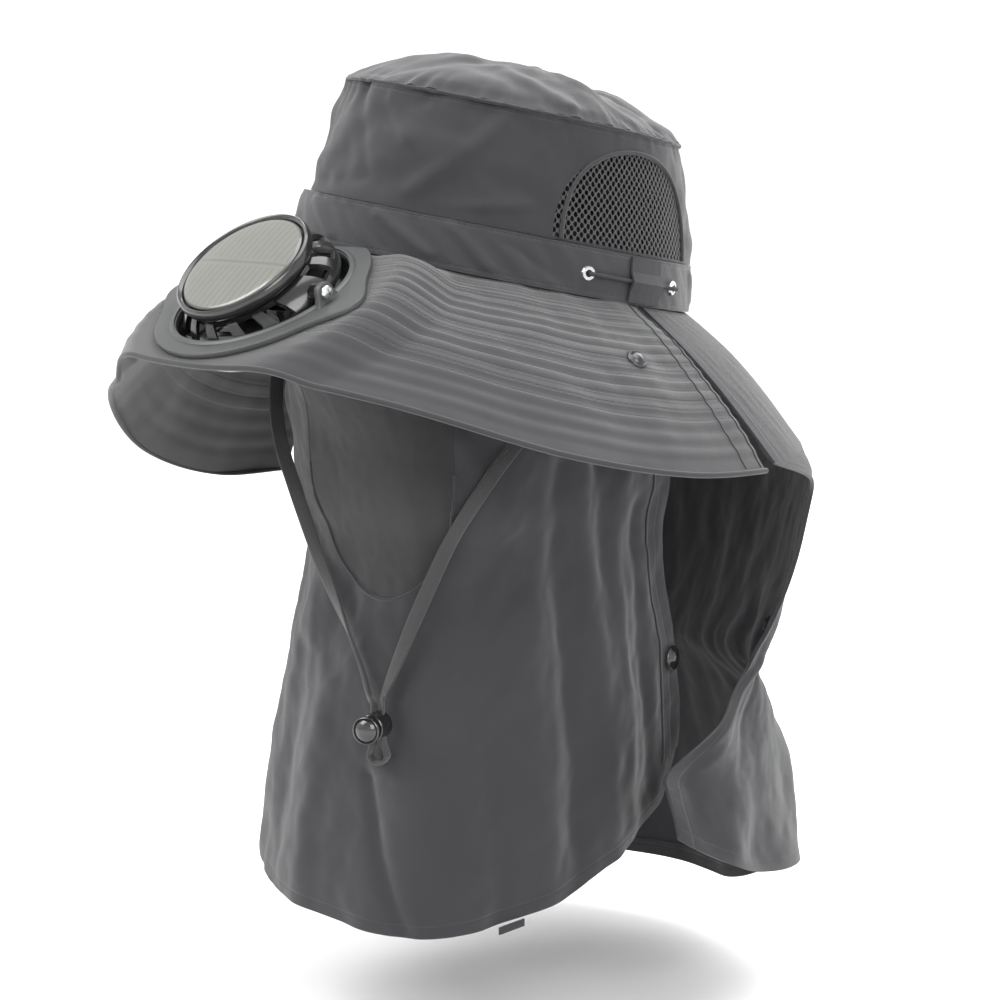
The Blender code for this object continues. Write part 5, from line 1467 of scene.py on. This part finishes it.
@dataclass
class ChinStrap:
    """Flat woven strap sewn under the brim on both sides, twisting down through its cord lock."""

    brim: Brim
    radius: float = 0.0017
    width: float = 0.0066
    pinched: float = 0.0040
    wall: float = 0.0012
    seam: tuple[Row, ...] = ((86.0, GAP), (81.0, GAP), (76.5, 0.0016))
    seam_share: float = 0.105
    lock_centre: tuple[float, float, float] = (0.0330, -0.1080, -0.1945)
    lock_azimuth: float = 22.0
    lock_radius: float = 0.0062
    lock_length: float = 0.0125
    lock_bore: tuple[float, float] = (0.0042, 0.0088)
    button_radius: float = 0.0064
    button_travel: float = 0.0025
    left: tuple[Row, ...] = (
        (0.0880, -0.0330, -0.0330), (0.0830, -0.0450, -0.0480), (0.0760, -0.0565, -0.0640),
        (0.0690, -0.0665, -0.0790), (0.0625, -0.0735, -0.0930), (0.0560, -0.0775, -0.1050),
        (0.0495, -0.0800, -0.1170), (0.0430, -0.0850, -0.1350), (0.0380, -0.0905, -0.1520),
        (0.0335, -0.0965, -0.1700), (0.0310, -0.1010, -0.1820),
    )
    right: tuple[Row, ...] = (
        (0.0240, -0.1030, -0.1820), (0.0130, -0.0985, -0.1690), (-0.0095, -0.0915, -0.1466),
        (-0.0245, -0.0880, -0.1292), (-0.0350, -0.0865, -0.1130), (-0.0430, -0.0870, -0.0960),
        (-0.0530, -0.0855, -0.0780), (-0.0650, -0.0780, -0.0590), (-0.0760, -0.0650, -0.0400),
        (-0.0845, -0.0480, -0.0210),
    )
    turns: tuple[Row, ...] = (
        (0.00, 85.0), (0.06, 92.0), (0.16, 122.0), (0.27, 138.0), (0.36, 96.0), (0.43, 26.0), (0.54, 22.0),
        (0.62, 80.0), (0.72, 128.0), (0.84, 136.0), (0.94, 104.0), (1.00, 95.0),
    )

    @property
    def lock(self) -> Matrix:
        """Frame of the lock, Z out of its button."""
        way = facing(self.lock_azimuth).to_track_quat("Z", "Y").to_matrix().to_4x4()
        return Matrix.Translation(self.lock_centre) @ way

    def seam_points(self, side: float) -> list[Vector]:
        """Stretch sewn under the brim on one side."""
        points = []
        for azimuth, off in self.seam:
            normal = normal_of(self.brim.point, side * azimuth, self.seam_share, 1.0, 0.02)
            spot = self.brim.point(side * azimuth, self.seam_share)
            points.append(spot - normal * (self.brim.wall / 2 + self.radius + off))
        return points

    def route(self) -> list[Vector]:
        """Left strand, the small bight under the lock and the right strand."""
        place = self.lock
        side = (place.to_3x3() @ Vector((1, 0, 0))).normalized()
        side = -side if side.x < 0 else side
        back = place @ Vector((0, 0, -self.lock_bore[0] / 2 - 0.0012))
        half, down = 0.0022, Vector((0, 0, -1))
        left, right = back + side * half, back - side * half
        points = self.seam_points(1.0) + [Vector(p) for p in self.left]
        points += [left - down * 0.0090, left - down * 0.0040, left + down * 0.0070]
        points += [back + side * half * math.cos(math.pi * i / 6) * 1.9
                   + down * (0.0135 + 0.0042 * math.sin(math.pi * i / 6)) for i in range(7)]
        points += [right + down * 0.0070, right - down * 0.0040, right - down * 0.0090]
        return points + [Vector(p) for p in self.right] + self.seam_points(-1.0)[::-1]

    @staticmethod
    def smooth(route: Sequence[Vector], spacing: float) -> list[Vector]:
        """Points at about an even spacing on the smooth curve through a route."""
        knots = [route[0] * 2 - route[1], *route, route[-1] * 2 - route[-2]]
        fine = []
        for a, b, c, d in zip(knots, knots[1:], knots[2:], knots[3:]):
            for i in range(12):
                t = i / 12
                fine.append(0.5 * (2 * b + (c - a) * t + (2 * a - 5 * b + 4 * c - d) * t * t
                                   + (3 * b - a - 3 * c + d) * t * t * t))
        fine.append(route[-1])
        kept, walked = [fine[0]], 0.0
        for before, here in zip(fine, fine[1:]):
            walked += (here - before).length
            if walked >= spacing:
                kept.append(here)
                walked = 0.0
        kept.append(fine[-1])
        return kept

    def build(self) -> None:
        """Build the strap and the lock."""
        webbing = WebbingFinish("strap_webbing", (0.0125, 0.0125, 0.0130)).make()
        gloss = PlasticFinish("lock_gloss", (0.012, 0.012, 0.012), 0.16, coat=0.5).make()
        path = self.smooth(self.route(), 0.0011)
        lengths = [0.0]
        for before, here in zip(path, path[1:]):
            lengths.append(lengths[-1] + (here - before).length)
        total = lengths[-1]
        lock_at = min(range(len(path)), key=lambda i: (path[i] - Vector(self.lock_centre)).length)
        middle = lengths[lock_at] / total
        section = [(math.cos(2 * math.pi * i / 16), math.sin(2 * math.pi * i / 16)) for i in range(17)]
        spots = []
        for i, spot in enumerate(path):
            way = (path[min(i + 1, len(path) - 1)] - path[max(i - 1, 0)]).normalized()
            share = lengths[i] / total
            across = facing(along(self.turns, share, 1))
            across = (across - way * across.dot(way)).normalized()
            out = way.cross(across)
            near = bell(share, middle + 0.035, 0.075)
            wide = self.width + (self.pinched - self.width) * near
            thick = self.wall * (1.0 + 0.9 * near)
            spots.append([spot + across * (math.copysign(abs(c) ** 0.45, c) * wide / 2)
                          + out * (math.copysign(abs(s) ** 0.7, s) * thick / 2) for c, s in section])
        piece = self.ribbon(spots, lengths)
        nodes = ["chin_strap"]
        strap = finish_piece(piece, "woven_strap", webbing, Body.HAT, nodes, 60)
        LOG.info("strap length %.3f", total)
        self.lock_pieces(gloss)

    def ribbon(self, rings: Sequence[Sequence[Vector]], lengths: Sequence[float]) -> bpy.types.Object:
        """Closed tape through rings of points, with its UV map along and across it in metres."""
        deselect()
        count, sides = len(rings), len(rings[0])
        bpy.ops.mesh.primitive_grid_add(x_subdivisions=sides - 1, y_subdivisions=count - 1, size=1.0)
        piece = bpy.context.object
        piece.data.vertices.foreach_set("co", np.array(rings).reshape(-1))
        layer = piece.data.uv_layers[0]
        layer.name = "cloth"
        for corner, spot in zip(piece.data.loops, layer.data):
            step = corner.vertex_index % sides
            spot.uv = (lengths[corner.vertex_index // sides],
                       math.cos(2 * math.pi * step / (sides - 1)) * self.width / 2)
        take(piece)
        bpy.ops.object.mode_set(mode="EDIT")
        bpy.ops.mesh.select_all(action="SELECT")
        bpy.ops.mesh.remove_doubles(threshold=0.00001)
        bpy.ops.mesh.select_all(action="DESELECT")
        bpy.ops.mesh.select_mode(type="EDGE")
        bpy.ops.mesh.select_non_manifold()
        bpy.ops.mesh.fill_holes(sides=0)
        bpy.ops.mesh.select_all(action="SELECT")
        bpy.ops.mesh.normals_make_consistent(inside=False)
        bpy.ops.object.mode_set(mode="OBJECT")
        return piece

    def lock_pieces(self, finish: bpy.types.Material) -> list[bpy.types.Object]:
        """Barrel with its slot, and the domed button with a bright rim."""
        half = self.lock_length / 2
        barrel = Lathe.turn([
            (0.0, -half), (self.lock_radius * 0.7, -half), (self.lock_radius * 0.88, -half + 0.0005),
            (self.lock_radius, -half + 0.0017), (self.lock_radius, half - 0.0004), (self.lock_radius - 0.0004, half),
            (0.0031, half), (0.0031, 0.0014), (0.0, 0.0014),
        ], 64, Matrix.Identity(4))
        deep, wide = self.lock_bore
        slot = prism([(-wide / 2, -deep - 0.0012), (wide / 2, -deep - 0.0012), (wide / 2, -0.0012), (-wide / 2, -0.0012)],
                     -0.02, 0.02, Matrix.Rotation(math.pi / 2, 4, "X") @ Matrix.Diagonal((1, 1, -1, 1)))
        carve(barrel, slot)
        barrel.data.transform(self.lock)
        face, r = half + self.button_travel + 0.0006, self.button_radius
        button = Lathe.turn([
            (0.0, 0.0044), (0.0028, 0.0044), (0.0028, face), (r * 0.96, face), (r, face + 0.0003), (r, face + 0.0010),
            (r * 0.97, face + 0.0014), (r * 0.91, face + 0.0016), (r * 0.86, face + 0.0012), (r * 0.83, face + 0.0010),
            (r * 0.76, face + 0.0016), (r * 0.60, face + 0.0025), (r * 0.32, face + 0.0032), (0.0, face + 0.0034),
        ], 64, self.lock)
        return [finish_piece(barrel, "cord_lock_barrel", finish, Body.HAT, ["lock_body"], 40),
                finish_piece(button, "cord_lock_button", finish, Body.LOCK_BUTTON, ["lock_button"], 40)]


@dataclass
class Studio:
    """Plain pale floor, soft light and the camera of the picture."""

    azimuth: float = 44.0
    elevation: float = 8.5
    distance: float = 1.30
    aim: tuple[float, float, float] = (0.0, 0.0, -0.108)
    lens: float = 98.3
    shift: float = 0.009
    floor: float = -0.345

    def build(self) -> None:
        """Set floor, lights and camera."""
        deselect()
        bpy.ops.mesh.primitive_circle_add(vertices=96, radius=2.6, fill_type="NGON", location=(0, 0, self.floor))
        sweep = bpy.context.object
        bpy.ops.object.mode_set(mode="EDIT")
        bpy.ops.mesh.select_all(action="DESELECT")
        bpy.ops.mesh.select_mode(type="EDGE")
        bpy.ops.mesh.select_non_manifold()
        for radius, rise in ((1.12, 0.05), (1.10, 0.14), (1.06, 0.22), (1.03, 0.30), (1.01, 0.40), (1.0, 0.8)):
            bpy.ops.mesh.extrude_edges_move(TRANSFORM_OT_translate={"value": (0, 0, rise)})
            bpy.ops.transform.resize(value=(radius, radius, 1.0), center_override=(0, 0, self.floor))
        bpy.ops.object.mode_set(mode="OBJECT")
        bpy.ops.object.transform_apply(location=True)
        bpy.ops.object.shade_smooth()
        sweep.name = "floor_sweep"
        sweep.data.materials.append(FloorFinish("paper", (0.86, 0.86, 0.86)).make())
        self.light("key_panel", (-0.9, -1.5, 1.6), 1.5, 46.0)
        self.light("side_panel", (1.9, -0.9, 0.9), 1.3, 30.0)
        self.light("top_panel", (0.2, 0.4, 2.0), 1.8, 40.0)
        self.light("back_panel", (-0.8, 1.9, 1.1), 1.4, 26.0)
        world = bpy.data.worlds.new("studio")
        world.use_nodes = True
        world.node_tree.nodes["Background"].inputs[0].default_value = (1.0, 1.0, 1.0, 1.0)
        world.node_tree.nodes["Background"].inputs[1].default_value = 0.95
        bpy.context.scene.world = world
        bpy.context.scene.view_settings.view_transform = "Standard"
        self.camera()

    def light(self, name: str, spot: tuple[float, float, float], size: float, power: float) -> None:
        """Soft panel facing the hat."""
        lamp = bpy.data.lights.new(name, "AREA")
        lamp.size, lamp.energy = size, power
        panel = bpy.data.objects.new(name, lamp)
        bpy.context.scene.collection.objects.link(panel)
        panel.location = spot
        panel.rotation_euler = (Vector(self.aim) - Vector(spot)).to_track_quat("-Z", "Y").to_euler()

    def camera(self) -> None:
        """Camera of the picture."""
        data = bpy.data.cameras.new("camera")
        data.lens, data.shift_x = self.lens, self.shift
        data.sensor_width, data.sensor_height, data.sensor_fit = 36.0, 36.0, "HORIZONTAL"
        camera = bpy.data.objects.new("camera", data)
        bpy.context.scene.collection.objects.link(camera)
        rise = math.radians(self.elevation)
        away = facing(self.azimuth) * math.cos(rise) + Vector((0, 0, math.sin(rise)))
        camera.location = Vector(self.aim) + away * self.distance
        camera.rotation_euler = (-away).to_track_quat("-Z", "Y").to_euler()
        bpy.context.scene.camera = camera


def dress_frame() -> None:
    """Paint the frame's own nodes that stay in view."""
    elastic = PlasticFinish("elastic_cord", (0.016, 0.016, 0.016), 0.7, texture=0.00010, grain_size=0.0007).make()
    steel = MetalFinish("eyelet_steel", (0.55, 0.55, 0.56), 0.22).make()
    tape = ClothFinish("tunnel_cloth", (0.0200, 0.0200, 0.0225), speckle=0.3).make()
    finishes = {"drawcord": elastic, "cord_tunnel_left": tape, "cord_tunnel_right": tape, "hem_tab": tape}
    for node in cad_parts.values():
        if node.name.startswith("eyelet"):
            finishes[node.name] = steel
    for name, finish in finishes.items():
        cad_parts[name].data.materials[0] = finish


def main() -> None:
    """Build the hat around the frame, then the studio."""
    logging.basicConfig(level=logging.INFO, format="%(name)s: %(message)s")
    head = Head()
    crown, brim, cape, veil = Crown(head), Brim(head), Cape(head), Veil(head)
    cloth = [part.build() for part in (crown, brim, cape, veil)]
    BrimFan(brim).build()
    Snaps(brim, veil, cape).build()
    ChinStrap(brim).build()
    dress_frame()
    Studio().build()


if __name__ == "__main__":
    main()
